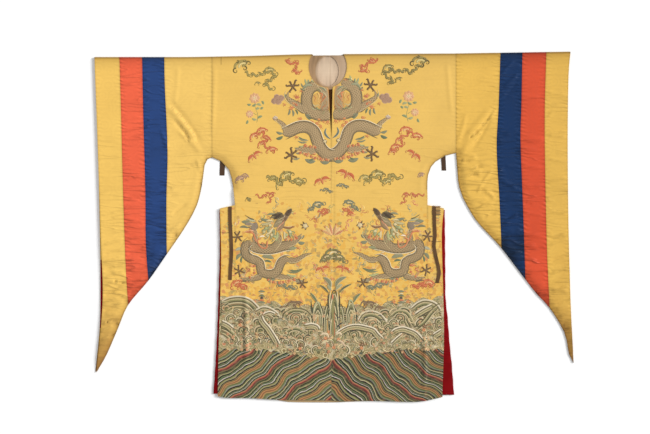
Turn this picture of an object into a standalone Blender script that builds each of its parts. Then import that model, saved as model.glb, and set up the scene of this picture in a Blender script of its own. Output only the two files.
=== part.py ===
"""A dragon robe laid flat, face up: round neck with a front slit, wide sleeves that end in points, side vents.

The body halves and every stretch of the sleeves are cut in one with front and back, and fold over the shoulder.
Each piece is drawn flat as it is cut, given the thickness of its cloth, and then laid: down the back on the
surface, over the shoulder, and down the front, which rests on the linings and rises in its creases.
Sizes are in millimetres. +X is the wearer's left, +Y runs to the neck, +Z is up off the surface.
"""

import math

import bmesh
import bpy
from mathutils import Vector

MM = 0.001

# Cloth walls, and the heights of the layers as they lie
CLOTH = 1.6
THIN = 1.0
SEAM_GAP = 0.3
BACK_MIDDLE = CLOTH / 2
FRONT_MIDDLE = 6.2
CLOSED_MIDDLE = BACK_MIDDLE + CLOTH + SEAM_GAP
LINING_MIDDLE = CLOTH + SEAM_GAP + THIN / 2
NECK_FACING_MIDDLE = FRONT_MIDDLE - CLOTH / 2 - SEAM_GAP - THIN / 2
FOLD_RADIUS = (FRONT_MIDDLE - BACK_MIDDLE) / 2
FOLD_MIDDLE = (FRONT_MIDDLE + BACK_MIDDLE) / 2
HALF_ARC = math.pi * FOLD_RADIUS / 2
CLOSED_WIDTH = 26

# How finely the pieces are cut for laying
GRID = 46
BACK_GRID = 220
CURVE_STEP = 30
SNAP = 0.4
FOLD_CUTS = (-HALF_ARC, -HALF_ARC / 2, 0, HALF_ARC / 2, HALF_ARC)

# The shoulder fold, where the cloth turns from front to back: x, y
SHOULDER = ((-880, 620), (-526, 620), (-307, 624), (-124, 630), (445, 633), (880, 640))

# Seams and edges by the side they lie on as seen from above, each from the top down: x, y
ARMHOLE = {
    "left": ((-445, 640), (-445, 254)),
    "right": ((445, 640), (445, 270)),
}
BLUE_SEAM = {
    "left": ((-619, 640), (-617, 518), (-607, 281), (-611, 99), (-610, -99)),
    "right": ((607, 640), (600, 438), (593, 288), (603, 99), (611, -77)),
}
RED_SEAM = {
    "left": ((-700, 640), (-696, 431), (-688, 135), (-686, -62), (-677, -195)),
    "right": ((687, 640), (683, 438), (680, 318), (688, 99), (698, -191)),
}
CUFF_SEAM = {
    "left": ((-783, 640), (-777, 431), (-769, 124), (-760, -131), (-751, -284)),
    "right": ((774, 640), (768, 402), (771, 135), (777, -102), (786, -294)),
}
MOUTH = {
    "left": ((-874, 640), (-869, 500), (-861, 281), (-850, -47), (-843, -230), (-850, -368), (-867, -531)),
    "right": ((862, 640), (855, 551), (852, 354), (853, 135), (856, -47), (863, -285), (874, -496)),
}
BACK_MOUTH = {
    "left": ((-874, 640), (-869, 500), (-861, 281), (-854, -47), (-852, -230), (-855, -368), (-871, -529)),
    "right": MOUTH["right"],
}
UNDERARM = {
    "left": ((-445, 254), (-462, 247), (-472, 226), (-482, 153), (-500, 80), (-533, 16), (-569, -40),
             (-610, -99), (-677, -195), (-751, -284), (-788, -369), (-829, -464), (-867, -531)),
    "right": ((445, 270), (449, 201), (458, 142), (471, 106), (515, 29), (560, -22), (611, -77),
              (698, -191), (743, -248), (786, -294), (840, -383), (858, -464), (874, -496)),
}
SIDE = {
    "left": ((-445, 254), (-412, 240), (-383, 208), (-368, 146), (-361, 80)),
    "right": ((445, 270), (405, 260), (369, 237), (343, 190), (341, 80)),
}
PANEL_OUTER = {
    "left": ((-416, 68), (-412, -84), (-414, -230), (-421, -456), (-424, -617)),
    "right": ((401, 68), (393, -29), (398, -230), (401, -400), (395, -620)),
}
GUSSET_FOLD = {
    "left": ((-418, 62), (-417, -84), (-421, -230), (-426, -376), (-434, -522), (-440, -608)),
    "right": ((404, 62), (406, -157), (407, -259), (414, -325), (423, -438), (429, -493), (438, -612)),
}
FRONT_HEM = ((-424, -617), (-394, -623), (-307, -624), (-197, -630), (-9, -632), (33, -636),
             (58, -633), (150, -634), (307, -637), (395, -620))
BACK_HEM = ((-424, -617), (-394, -623), (-241, -626), (-168, -638), (-11, -639.8), (40, -638),
            (150, -635), (307, -637), (395, -620))
CLOSED_SIDE_END = 130

# Neck and slit
NECK_CENTRE = (-23, 585)
NECK_HALF = (70, 77)
COLLAR_CENTRE = (-22, 569)
COLLAR_HALF = (40, 55)
COLLAR_TUCK = 7
NECK_TOP = 625
BACK_NECK_DROP = 1.0
SEAM_X = -9.5
SLIT_TOP = (-22, -5)
SLIT_START = 510
SLIT_END = 328

# Linings, ribbons and ties
PLACKET_EDGE = 9
GUSSET_INNER = {"left": -390, "right": 372}
GUSSET_LOWER = CLOTH + SEAM_GAP + THIN / 2
GUSSET_UPPER = GUSSET_LOWER + 2.0
GUSSET_CUTS = 4
HEM_STRIP_TOP = -598
HEM_STRIP_ENDS = (-236, 172)
MOUTH_STRIP_ENDS = (-110, -392)
MOUTH_STRIP_WIDTH = 24
RIBBON_WIDTH = 13
RIBBON_PATH = {
    "left": ((-379, 74), (-379, 26), (-375, -47), (-374, -102), (-378, -157), (-379, -193)),
    "right": ((365, 74), (366, 7), (368, -33), (364, -69), (374, -120), (383, -164), (376, -204)),
}
TIE_ENDS = {"left": (-416, -398, 188, -1.5), "right": (391, 407, 206, 2.5)}

# Creases that stand up on the front: from x, y to x, y, then half width and height
CREASES = (
    (-613, 449, -493, 299, 20, 5.0),
    (-577, 361, -478, 262, 15, 3.0),
    (-766, 7, -617, -18, 14, 2.6),
    (-672, -84, -591, -40, 12, 2.6),
    (-843, -128, -686, -113, 12, 3.2),
    (-847, -186, -722, -200, 12, 3.0),
    (-843, -290, -762, -272, 12, 3.4),
    (-847, -354, -786, -339, 12, 6.0),
    (-852, -412, -812, -396, 10, 3.0),
    (-325, -212, -325, -540, 15, 4.0),
    (580, 438, 471, 299, 20, 5.0),
    (548, 361, 462, 262, 15, 3.0),
    (456, 205, 533, 222, 10, 2.4),
    (460, 160, 545, 168, 10, 2.4),
    (683, 314, 774, 318, 12, 3.2),
    (606, -8, 777, -33, 12, 3.2),
    (694, -168, 854, -150, 12, 3.0),
    (785, -222, 858, -236, 11, 3.0),
    (804, -300, 865, -288, 11, 3.0),
    (830, -362, 869, -372, 9, 2.8),
    (328, -376, 328, -612, 14, 4.0),
)

# Colours, 0 to 255 as seen: red, green, blue
YELLOW = (236, 193, 100)
SLEEVE_YELLOW = (234, 191, 102)
CUFF_YELLOW = (232, 186, 95)
RED = (222, 98, 66)
BLUE = (42, 66, 107)
CRIMSON = (126, 17, 19)
CREAM = (214, 187, 159)
TAUPE = (170, 140, 108)
DARK_BROWN = (88, 60, 30)
TIE_BROWN = (88, 74, 68)
RIBBON_MAUVE = (110, 85, 80)
HEM_BEIGE = (176, 150, 120)


def clear_scene():
    """Start from an empty scene."""
    for old in list(bpy.data.objects):
        bpy.data.objects.remove(old, do_unlink=True)


def linear(channel):
    """One 0 to 255 colour channel as a linear value."""
    c = channel / 255
    return c / 12.92 if c <= 0.04045 else ((c + 0.055) / 1.055) ** 2.4


def cloth_material(name, colour, roughness):
    """A plain Principled material for one piece."""
    material = bpy.data.materials.new(name)
    material.use_nodes = True
    shader = material.node_tree.nodes["Principled BSDF"]
    shader.inputs["Base Color"].default_value = [linear(c) for c in colour] + [1.0]
    shader.inputs["Roughness"].default_value = roughness
    shader.inputs["Metallic"].default_value = 0.0
    return material


def between(table, x):
    """The value at x in a table of x, y rows, along straight lines."""
    for (x0, y0), (x1, y1) in zip(table, table[1:]):
        if x <= x1:
            return y0 + (y1 - y0) * (x - x0) / (x1 - x0)
    return table[-1][1]


def smooth_curve(points, step=CURVE_STEP):
    """Points about a step apart on a smooth curve that passes through the given points."""
    knots = [Vector(p) for p in points]
    if len(knots) == 2:
        return [tuple(k) for k in knots]
    knots = [2 * knots[0] - knots[1]] + knots + [2 * knots[-1] - knots[-2]]
    curve = []
    for a, b, c, d in zip(knots, knots[1:], knots[2:], knots[3:]):
        count = max(1, round((c - b).length / step))
        for i in range(count):
            t = i / count
            point = 2 * b + (c - a) * t + (2 * a - 5 * b + 4 * c - d) * t * t + (3 * b - a - 3 * c + d) * t ** 3
            curve.append(tuple(point / 2))
    curve.append(tuple(knots[-2]))
    return curve


def distance_to_line(x, y, x0, y0, x1, y1):
    """How far a point is from a straight stretch, and how far along that stretch it lies, 0 to 1."""
    dx = x1 - x0
    dy = y1 - y0
    along = ((x - x0) * dx + (y - y0) * dy) / (dx * dx + dy * dy)
    held = min(1.0, max(0.0, along))
    return math.hypot(x - x0 - held * dx, y - y0 - held * dy), along


def ease(t):
    """A smooth rise from 0 to 1."""
    t = min(1.0, max(0.0, t))
    return t * t * (3 - 2 * t)


def closed_edges():
    """The edges where front and back are sewn together: under each sleeve and down to the vent."""
    edges = []
    for side in ("left", "right"):
        edges.append(smooth_curve(UNDERARM[side]))
        edges.append([p for p in smooth_curve(SIDE[side]) if p[1] >= CLOSED_SIDE_END])
    return edges


CLOSED = closed_edges()


def crease_height(x, y):
    """How far the creases lift the front at a point."""
    lift = 0.0
    for x0, y0, x1, y1, half_width, height in CREASES:
        distance, along = distance_to_line(x, y, x0, y0, x1, y1)
        if distance < half_width and 0 < along < 1:
            fade = ease(min(along, 1 - along) * 4)
            lift = max(lift, height * fade * (1 + math.cos(math.pi * distance / half_width)) / 2)
    return lift


def front_middle(x, y):
    """The height of the middle of the front cloth at a point."""
    nearest = min(
        distance_to_line(x, y, *a, *b)[0]
        for edge in CLOSED for a, b in zip(edge, edge[1:])
    )
    open_share = ease(nearest / CLOSED_WIDTH)
    return CLOSED_MIDDLE + (FRONT_MIDDLE - CLOSED_MIDDLE + crease_height(x, y)) * open_share


def fold_start(x):
    """The y where the cloth starts to turn over the shoulder."""
    return between(SHOULDER, x) - FOLD_RADIUS - CLOTH / 2


def cut_place(x, y, layer):
    """A place on the laid robe as a point on the flat cut: layer 1 is the front, -1 the back."""
    return (x, layer * (fold_start(x) - y + HALF_ARC))


def laid_place(point):
    """A point of the flat cut, laid over the shoulder and creased."""
    x, along, out = point
    start = fold_start(x)
    past_fold = abs(along) - HALF_ARC
    if past_fold <= 0:
        angle = along / FOLD_RADIUS
        radius = FOLD_RADIUS + out
        return Vector((x, start + radius * math.cos(angle), FOLD_MIDDLE + radius * math.sin(angle)))
    if along > 0:
        return Vector((x, start - past_fold, front_middle(x, start - past_fold) + out))
    return Vector((x, start - past_fold, BACK_MIDDLE - out))


def shifted(points, dx):
    """Points moved sideways, for the gap at a seam."""
    return [(x + dx, y) for x, y in points]


def below_shoulder(points):
    """The stretch of a seam that lies under the shoulder fold, starting on the fold's edge."""
    inside = [p for p in points if p[1] < fold_start(p[0])]
    x = points[0][0]
    return [(x, fold_start(x))] + inside


def finish(name, bm, colour, roughness):
    """Turn a closed mesh in millimetres into the named object."""
    bmesh.ops.triangulate(bm, faces=bm.faces[:])
    bmesh.ops.recalc_face_normals(bm, faces=bm.faces[:])
    bmesh.ops.scale(bm, vec=(MM, MM, MM), verts=bm.verts[:])
    mesh = bpy.data.meshes.new(name)
    bm.to_mesh(mesh)
    bm.free()
    mesh.materials.append(cloth_material(name, colour, roughness))
    mesh.shade_smooth()
    mesh.set_sharp_from_angle(angle=math.radians(40))
    piece = bpy.data.objects.new(name, mesh)
    bpy.context.scene.collection.objects.link(piece)
    return piece


def flat_cut(outline):
    """One flat face with the given outline."""
    bm = bmesh.new()
    bm.faces.new([bm.verts.new((x, y, 0)) for x, y in outline])
    return bm


def score(bm, place, normal, near=None):
    """Cut the flat piece along one line, where near() holds for a face's middle."""
    faces = [f for f in bm.faces if near is None or near(f.calc_center_median())]
    edges = {e for f in faces for e in f.edges}
    verts = {v for f in faces for v in f.verts}
    geom = faces + list(edges) + list(verts)
    bmesh.ops.bisect_plane(bm, geom=geom, dist=SNAP, plane_co=(*place, 0), plane_no=(*normal, 0))


def score_grid(bm):
    """Cut a piece where it must bend: across its fold, over its front, and along its creases."""
    lows = [min(v.co[i] for v in bm.verts) for i in (0, 1)]
    highs = [max(v.co[i] for v in bm.verts) for i in (0, 1)]
    for along in FOLD_CUTS:
        if lows[1] < along < highs[1]:
            score(bm, (0, along), (0, 1))
    rows = math.ceil((highs[1] - HALF_ARC) / GRID)
    for i in range(1, rows):
        score(bm, (0, HALF_ARC + i * GRID), (0, 1))
    for i in range(1, math.ceil(-lows[1] / BACK_GRID)):
        score(bm, (0, -i * BACK_GRID), (0, 1))
    columns = max(2, math.ceil((highs[0] - lows[0]) / GRID))
    for i in range(1, columns):
        x = lows[0] + (highs[0] - lows[0]) * i / columns
        score(bm, (x, 0), (1, 0), near=lambda centre: centre.y > -HALF_ARC)
    for x0, y0, x1, y1, half_width, _height in CREASES:
        start = Vector(cut_place(x0, y0, 1))
        end = Vector(cut_place(x1, y1, 1))
        across = (end - start).orthogonal().normalized()

        def near_crease(centre, reach=half_width + GRID / 2):
            distance, along = distance_to_line(centre.x, centre.y, *start, *end)
            return distance < reach and 0 < along < 1

        for share in (-1, 0, 1):
            score(bm, start + across * half_width * share, across, near=near_crease)


def laid_piece(name, outline, colour, roughness=0.5):
    """Cut a piece of outer cloth, give it its thickness and lay it."""
    bm = flat_cut(outline)
    score_grid(bm)
    wall = bmesh.ops.extrude_face_region(bm, geom=bm.faces[:])
    raised = [v for v in wall["geom"] if isinstance(v, bmesh.types.BMVert)]
    bmesh.ops.translate(bm, verts=raised, vec=(0, 0, CLOTH))
    bmesh.ops.translate(bm, verts=bm.verts[:], vec=(0, 0, -CLOTH / 2))
    for vert in bm.verts:
        vert.co = laid_place(vert.co)
    return finish(name, bm, colour, roughness)


def flat_piece(name, outline, middle, colour, roughness=0.6):
    """A thin piece that lies level at one height."""
    bm = flat_cut(outline)
    wall = bmesh.ops.extrude_face_region(bm, geom=bm.faces[:])
    raised = [v for v in wall["geom"] if isinstance(v, bmesh.types.BMVert)]
    bmesh.ops.translate(bm, verts=raised, vec=(0, 0, THIN))
    bmesh.ops.translate(bm, verts=bm.verts[:], vec=(0, 0, middle - THIN / 2))
    return finish(name, bm, colour, roughness)


def sleeve_stretch(name, side, inner, outer, colour, back_outer=None):
    """One stretch of a sleeve between two seams, cut in one with front and back."""
    outward = -1 if side == "left" else 1
    half_gap = SEAM_GAP / 2
    inner_line = shifted(below_shoulder(smooth_curve(inner[side])), outward * half_gap)
    is_mouth = outer is MOUTH
    outer_gap = 0 if is_mouth else -outward * half_gap
    outer_line = shifted(below_shoulder(smooth_curve(outer[side])), outer_gap)
    back_line = outer_line
    if back_outer:
        back_line = below_shoulder(smooth_curve(back_outer[side]))
    near_x = abs(inner_line[-1][0]) + 4
    far_x = abs(outer_line[-1][0]) - 4
    edge = [p for p in smooth_curve(UNDERARM[side]) if near_x < abs(p[0]) < far_x]
    front = inner_line + edge + outer_line[::-1]
    back = back_line + edge[::-1] + inner_line[::-1]
    outline = [cut_place(x, y, 1) for x, y in front] + [cut_place(x, y, -1) for x, y in back]
    return laid_piece(name, outline, colour)


def hem_stretch(hem, x_from, x_to):
    """The points of a hem between two x values, with its ends, running from the first to the second."""
    low, high = sorted((x_from, x_to))
    curve = smooth_curve(hem)
    inner = [p for p in curve if low + 4 < p[0] < high - 4]
    points = [(low, between(curve, low))] + inner + [(high, between(curve, high))]
    return points if x_from < x_to else points[::-1]


def neck_edge(side):
    """The neck cut on one side, from the top of the slit up to the shoulder."""
    outward = -1 if side == "left" else 1
    slit_x = SLIT_TOP[0] if side == "left" else SLIT_TOP[1]
    steps = 9
    start = math.asin((slit_x - NECK_CENTRE[0]) / NECK_HALF[0] * outward)
    rise = (fold_start(NECK_CENTRE[0]) - NECK_CENTRE[1]) / NECK_HALF[1]
    end = math.pi / 2 + math.asin(rise)
    points = []
    for i in range(steps + 1):
        angle = start + (end - start) * i / steps
        x = NECK_CENTRE[0] + outward * NECK_HALF[0] * math.sin(angle)
        points.append((x, NECK_CENTRE[1] - NECK_HALF[1] * math.cos(angle)))
    return points


def body_half(side):
    """Half of the body, front and back in one, from the centre seam to the armhole and side."""
    outward = -1 if side == "left" else 1
    half_gap = SEAM_GAP / 2
    centre = SEAM_X + outward * half_gap
    armhole = shifted(below_shoulder(ARMHOLE[side]), -outward * half_gap)
    side_edge = smooth_curve(SIDE[side])[1:]
    vent_x = side_edge[-1][0] - outward * half_gap
    side_edge[-1] = (vent_x, side_edge[-1][1])
    neck = neck_edge(side)
    front = (armhole + side_edge + hem_stretch(FRONT_HEM, vent_x, centre)
             + [(centre, SLIT_END)] + neck)
    neck_x = neck[-1][0]
    back = hem_stretch(BACK_HEM, centre, vent_x) + side_edge[::-1] + armhole[::-1]
    outline = [cut_place(x, y, 1) for x, y in front]
    back_neck = -HALF_ARC - BACK_NECK_DROP
    outline += [(neck_x - outward * 1.5, 0), (neck_x - outward * 6, back_neck), (centre, back_neck)]
    outline += [cut_place(x, y, -1) for x, y in back]
    return laid_piece("body_" + side, outline, YELLOW)


def side_panel(side, layer):
    """The panel that widens the skirt beside a vent, front or back."""
    outward = -1 if side == "left" else 1
    word = "front" if layer == 1 else "back"
    hem = FRONT_HEM if layer == 1 else BACK_HEM
    seam_x = SIDE[side][-1][0] + outward * SEAM_GAP / 2
    outer = smooth_curve(PANEL_OUTER[side])
    outline = [(seam_x, SIDE[side][-1][1])] + outer[:-1]
    outline += hem_stretch(hem, outer[-1][0], seam_x)
    flat = [cut_place(x, y, layer) for x, y in outline]
    return laid_piece(f"side_panel_{word}_{side}", flat, YELLOW)


def side_gusset(side):
    """The folded strip of crimson cloth inside a vent, its fold showing past the panels."""
    outward = -1 if side == "left" else 1
    inner = GUSSET_INNER[side]
    turn = (GUSSET_UPPER - GUSSET_LOWER) / 2
    middle = (GUSSET_UPPER + GUSSET_LOWER) / 2
    half_turns = [math.pi * (i / GUSSET_CUTS - 0.5) for i in range(GUSSET_CUTS + 1)]
    section = [(inner, middle - turn - THIN / 2)]
    section += gusset_arc(half_turns, turn + THIN / 2, middle, outward)
    section += [(inner, middle + turn + THIN / 2), (inner, middle + turn - THIN / 2)]
    section += gusset_arc([math.pi / 3, -math.pi / 3], turn - THIN / 2, middle, outward)
    section += [(inner, middle - turn + THIN / 2)]
    fold = smooth_curve(GUSSET_FOLD[side], 40)
    bm = bmesh.new()
    bm.faces.new([bm.verts.new((x, fold[0][1], z)) for x, z in section])
    grown = bmesh.ops.extrude_face_region(bm, geom=bm.faces[:])
    far_end = [v for v in grown["geom"] if isinstance(v, bmesh.types.BMVert)]
    bmesh.ops.translate(bm, verts=far_end, vec=(0, fold[-1][1] - fold[0][1], 0))
    for _x, y in fold[1:-1]:
        geom = bm.verts[:] + bm.edges[:] + bm.faces[:]
        bmesh.ops.bisect_plane(bm, geom=geom, dist=SNAP, plane_co=(0, y, 0), plane_no=(0, 1, 0))
    depth_to_x = sorted((y, x) for x, y in fold)
    for vert in bm.verts:
        if abs(vert.co.x) < abs(inner) / 2:
            vert.co.x += between(depth_to_x, vert.co.y) - outward * (turn + THIN / 2)
    return finish("side_gusset_" + side, bm, CRIMSON, 0.45)


def gusset_arc(angles, radius, middle, outward):
    """Points of a gusset's fold, as x past the fold's centre and height."""
    return [(outward * radius * math.cos(a), middle + radius * math.sin(a)) for a in angles]


def oval(centre, half, steps, top):
    """Points round an oval whose top is cut off level."""
    points = []
    for i in range(steps):
        angle = 2 * math.pi * i / steps
        y = centre[1] + half[1] * math.sin(angle)
        points.append((centre[0] + half[0] * math.cos(angle), min(y, top)))
    return points


def neck_facing():
    """The taupe facing that shows as a ring inside the neck."""
    steps = 40
    wide = (NECK_HALF[0] + COLLAR_TUCK, NECK_HALF[1] + COLLAR_TUCK)
    bm = bmesh.new()
    edges = []
    for loop in (oval(NECK_CENTRE, wide, steps, NECK_TOP), oval(COLLAR_CENTRE, COLLAR_HALF, steps, NECK_TOP - 3)):
        ring = [bm.verts.new((x, y, 0)) for x, y in loop]
        edges += [bm.edges.new(pair) for pair in zip(ring, ring[1:] + ring[:1])]
    bmesh.ops.bridge_loops(bm, edges=edges)
    wall = bmesh.ops.extrude_face_region(bm, geom=bm.faces[:])
    raised = [v for v in wall["geom"] if isinstance(v, bmesh.types.BMVert)]
    bmesh.ops.translate(bm, verts=raised, vec=(0, 0, THIN))
    bmesh.ops.translate(bm, verts=bm.verts[:], vec=(0, 0, NECK_FACING_MIDDLE - THIN / 2))
    return finish("neck_facing", bm, TAUPE, 0.6)


def neck_lining():
    """The cream lining of the back that shows through the neck."""
    half = (COLLAR_HALF[0] + COLLAR_TUCK, COLLAR_HALF[1] + COLLAR_TUCK)
    return flat_piece("neck_lining", oval(COLLAR_CENTRE, half, 32, NECK_TOP), LINING_MIDDLE, CREAM)


def slit_placket():
    """The dark underlap behind the neck slit."""
    top = COLLAR_CENTRE[1] - COLLAR_HALF[1] - COLLAR_TUCK - 2
    left = SLIT_TOP[0] - PLACKET_EDGE
    right = SLIT_TOP[1] + PLACKET_EDGE
    outline = [(left, top), (SEAM_X - PLACKET_EDGE, SLIT_END - PLACKET_EDGE),
               (SEAM_X + PLACKET_EDGE, SLIT_END - PLACKET_EDGE), (right, top)]
    return flat_piece("slit_placket", outline, LINING_MIDDLE, DARK_BROWN)


def hem_facing():
    """The lining of the back where it shows below the front hem."""
    low, high = HEM_STRIP_ENDS
    edge = [(x, y + 0.5) for x, y in hem_stretch(BACK_HEM, low, high)]
    return flat_piece("hem_facing", edge + [(high, HEM_STRIP_TOP), (low, HEM_STRIP_TOP)], LINING_MIDDLE, HEM_BEIGE)


def mouth_facing():
    """The red facing inside the left sleeve's mouth, where it shows past the front edge."""
    top, bottom = MOUTH_STRIP_ENDS
    edge = [p for p in smooth_curve(BACK_MOUTH["left"]) if bottom <= p[1] <= top]
    outer = shifted(edge, 0.5)
    inner = shifted(edge, MOUTH_STRIP_WIDTH)
    return flat_piece("mouth_facing_left", outer + inner[::-1], LINING_MIDDLE, CRIMSON, 0.45)


def side_ribbon(side):
    """The mauve ribbon that hangs from the top of a vent and lies on the side panel."""
    path = smooth_curve(RIBBON_PATH[side], 24)
    half = RIBBON_WIDTH / 2
    outline = [(x - half, y) for x, y in path] + [(x + half, y) for x, y in path[::-1]]
    bm = flat_cut(outline)
    for _x, y in path[1:-1]:
        score(bm, (0, y), (0, 1))
    wall = bmesh.ops.extrude_face_region(bm, geom=bm.faces[:])
    raised = [v for v in wall["geom"] if isinstance(v, bmesh.types.BMVert)]
    bmesh.ops.translate(bm, verts=raised, vec=(0, 0, THIN))
    rise = CLOTH / 2 + SEAM_GAP
    for vert in bm.verts:
        vert.co.z += front_middle(vert.co.x, vert.co.y) + rise
    return finish("side_ribbon_" + side, bm, RIBBON_MAUVE, 0.6)


def underarm_tie(side):
    """The short brown tie that is sewn into the side seam under an arm and lies beside it."""
    low_x, high_x, end_y, lean = TIE_ENDS[side]
    edge = sorted(smooth_curve(SIDE[side]))
    corners = sorted([low_x, high_x] + [x for x, _y in edge if low_x < x < high_x])
    top = [(x, between(edge, x) - 2 * SEAM_GAP) for x in corners]
    outline = top + [(high_x + lean, end_y), (low_x + lean, end_y)]
    return flat_piece("underarm_tie_" + side, outline, THIN / 2, TIE_BROWN)


def build():
    """Make every piece of the robe."""
    clear_scene()
    for side in ("left", "right"):
        body_half(side)
        sleeve_stretch("sleeve_" + side, side, ARMHOLE, BLUE_SEAM, SLEEVE_YELLOW)
        sleeve_stretch("blue_band_" + side, side, BLUE_SEAM, RED_SEAM, BLUE)
        sleeve_stretch("red_band_" + side, side, RED_SEAM, CUFF_SEAM, RED)
        sleeve_stretch("cuff_" + side, side, CUFF_SEAM, MOUTH, CUFF_YELLOW, BACK_MOUTH)
        side_panel(side, 1)
        side_panel(side, -1)
        side_gusset(side)
        side_ribbon(side)
        underarm_tie(side)
    neck_facing()
    neck_lining()
    slit_placket()
    hem_facing()
    mouth_facing()


build()
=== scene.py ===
"""The looks of a dragon robe that lies flat, face up, on a pale surface."""
import functools
import math

import bmesh
import bpy
import numpy as np
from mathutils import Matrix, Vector
from mathutils.kdtree import KDTree


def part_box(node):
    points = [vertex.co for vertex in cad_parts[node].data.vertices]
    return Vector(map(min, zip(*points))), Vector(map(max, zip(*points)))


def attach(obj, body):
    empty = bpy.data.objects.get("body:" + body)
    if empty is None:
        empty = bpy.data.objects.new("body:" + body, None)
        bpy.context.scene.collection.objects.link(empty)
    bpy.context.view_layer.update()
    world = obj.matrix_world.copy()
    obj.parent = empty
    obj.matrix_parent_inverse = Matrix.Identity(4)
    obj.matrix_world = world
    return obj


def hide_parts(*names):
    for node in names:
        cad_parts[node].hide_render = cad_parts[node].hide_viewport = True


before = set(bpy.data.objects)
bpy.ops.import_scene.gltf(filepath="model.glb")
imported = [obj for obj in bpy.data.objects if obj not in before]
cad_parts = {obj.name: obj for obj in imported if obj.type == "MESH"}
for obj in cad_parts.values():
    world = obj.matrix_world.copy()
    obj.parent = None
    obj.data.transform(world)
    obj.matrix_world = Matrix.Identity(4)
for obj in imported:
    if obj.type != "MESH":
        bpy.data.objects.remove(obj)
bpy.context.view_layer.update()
MM = 0.001

# ---------------------------------------------------------------------------
# The surface, the light and the camera.
# A plain white table, a soft low light from the right that draws every crease, and an even fill. The camera
# hangs straight above the robe.
# ---------------------------------------------------------------------------
VIEW_WIDTH_PX = 650
MM_PER_PX = 3.65
LENS_MM = 85
SENSOR_MM = 36
VIEW_CENTRE = (-32.85 * MM, 36.5 * MM)
FILL_STRENGTH = 0.58
SUN_STRENGTH = 3.9
SUN_SPREAD_DEG = 24
SUN_FROM = (0.86, 0.28, 0.42)
TABLE_HALF = 6.0
TABLE_DROP = 0.15 * MM

scene = bpy.context.scene
scene.view_settings.view_transform = "Standard"


def placed(name, data):
    """An object in the scene, made from its data."""
    thing = bpy.data.objects.new(name, data)
    scene.collection.objects.link(thing)
    return thing


def painted(name):
    """A new material, its node tree and its shader."""
    material = bpy.data.materials.new(name)
    material.use_nodes = True
    return material, material.node_tree, material.node_tree.nodes["Principled BSDF"]


def mesh_of(name, bm):
    """A mesh made from shaped geometry."""
    mesh = bpy.data.meshes.new(name)
    bm.to_mesh(mesh)
    bm.free()
    return mesh


def wire(source, target):
    """Join a socket to another one, or set it to a plain value."""
    source = getattr(source, "socket", source)
    if isinstance(source, bpy.types.NodeSocket):
        target.id_data.links.new(source, target)
    else:
        target.default_value = source


def feed(node, **values):
    """Join or set a node's sockets by name, with their spaces as underscores."""
    for name, value in values.items():
        wire(value, node.inputs[name.replace("_", " ")])


camera_data = bpy.data.cameras.new("camera")
camera_data.lens = LENS_MM
camera_data.sensor_width = SENSOR_MM
scene.camera = placed("camera", camera_data)
scene.camera.location = (*VIEW_CENTRE, VIEW_WIDTH_PX * MM_PER_PX * MM * LENS_MM / SENSOR_MM)

scene.world = bpy.data.worlds.new("even_fill")
scene.world.use_nodes = True
feed(scene.world.node_tree.nodes["Background"], Color=(1.0, 1.0, 1.0, 1.0), Strength=FILL_STRENGTH)

sun_data = bpy.data.lights.new("low_light", "SUN")
sun_data.energy = SUN_STRENGTH
sun_data.angle = math.radians(SUN_SPREAD_DEG)
placed("low_light", sun_data).rotation_euler = Vector(SUN_FROM).to_track_quat("Z", "Y").to_euler()

floor_cut = bmesh.new()
bmesh.ops.create_grid(floor_cut, x_segments=1, y_segments=1, size=TABLE_HALF)
bmesh.ops.translate(floor_cut, verts=floor_cut.verts[:], vec=(0, 0, -TABLE_DROP))
floor_mesh = mesh_of("floor", floor_cut)
floor_paint, _tree, floor_shader = painted("white_table")
feed(floor_shader, Base_Color=(0.97, 0.97, 0.97, 1.0), Roughness=0.9)
floor_mesh.materials.append(floor_paint)
placed("floor", floor_mesh)

# ---------------------------------------------------------------------------
# The body: two halves of yellow silk damask, front and back in one, joined at the centre seam and folded
# over the shoulder. Each half is taken up as its flat cut, scored finely, and laid again with its creases.
# ---------------------------------------------------------------------------
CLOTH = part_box("side_panel_back_left")[1].z
TOUCH = 0.01 * MM
SEAM_GAP = 0.3 * MM
BACK_MIDDLE = CLOTH / 2
FRONT_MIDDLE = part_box("side_panel_front_left")[1].z - CLOTH / 2
CLOSED_MIDDLE = BACK_MIDDLE + CLOTH + SEAM_GAP
FOLD_RADIUS = (FRONT_MIDDLE - BACK_MIDDLE) / 2
FOLD_MIDDLE = (FRONT_MIDDLE + BACK_MIDDLE) / 2
HALF_ARC = math.pi * FOLD_RADIUS / 2
CLOSED_WIDTH = 26 * MM
FRONT_PITCH = 5.5 * MM
BACK_PITCH = 16 * MM
UNDER_NECK = 500 * MM
ABOVE_CHEST = 550 * MM
SHARP_DEG = 50
FOLDED = ("body", "sleeve", "blue", "red", "cuff")

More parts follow.
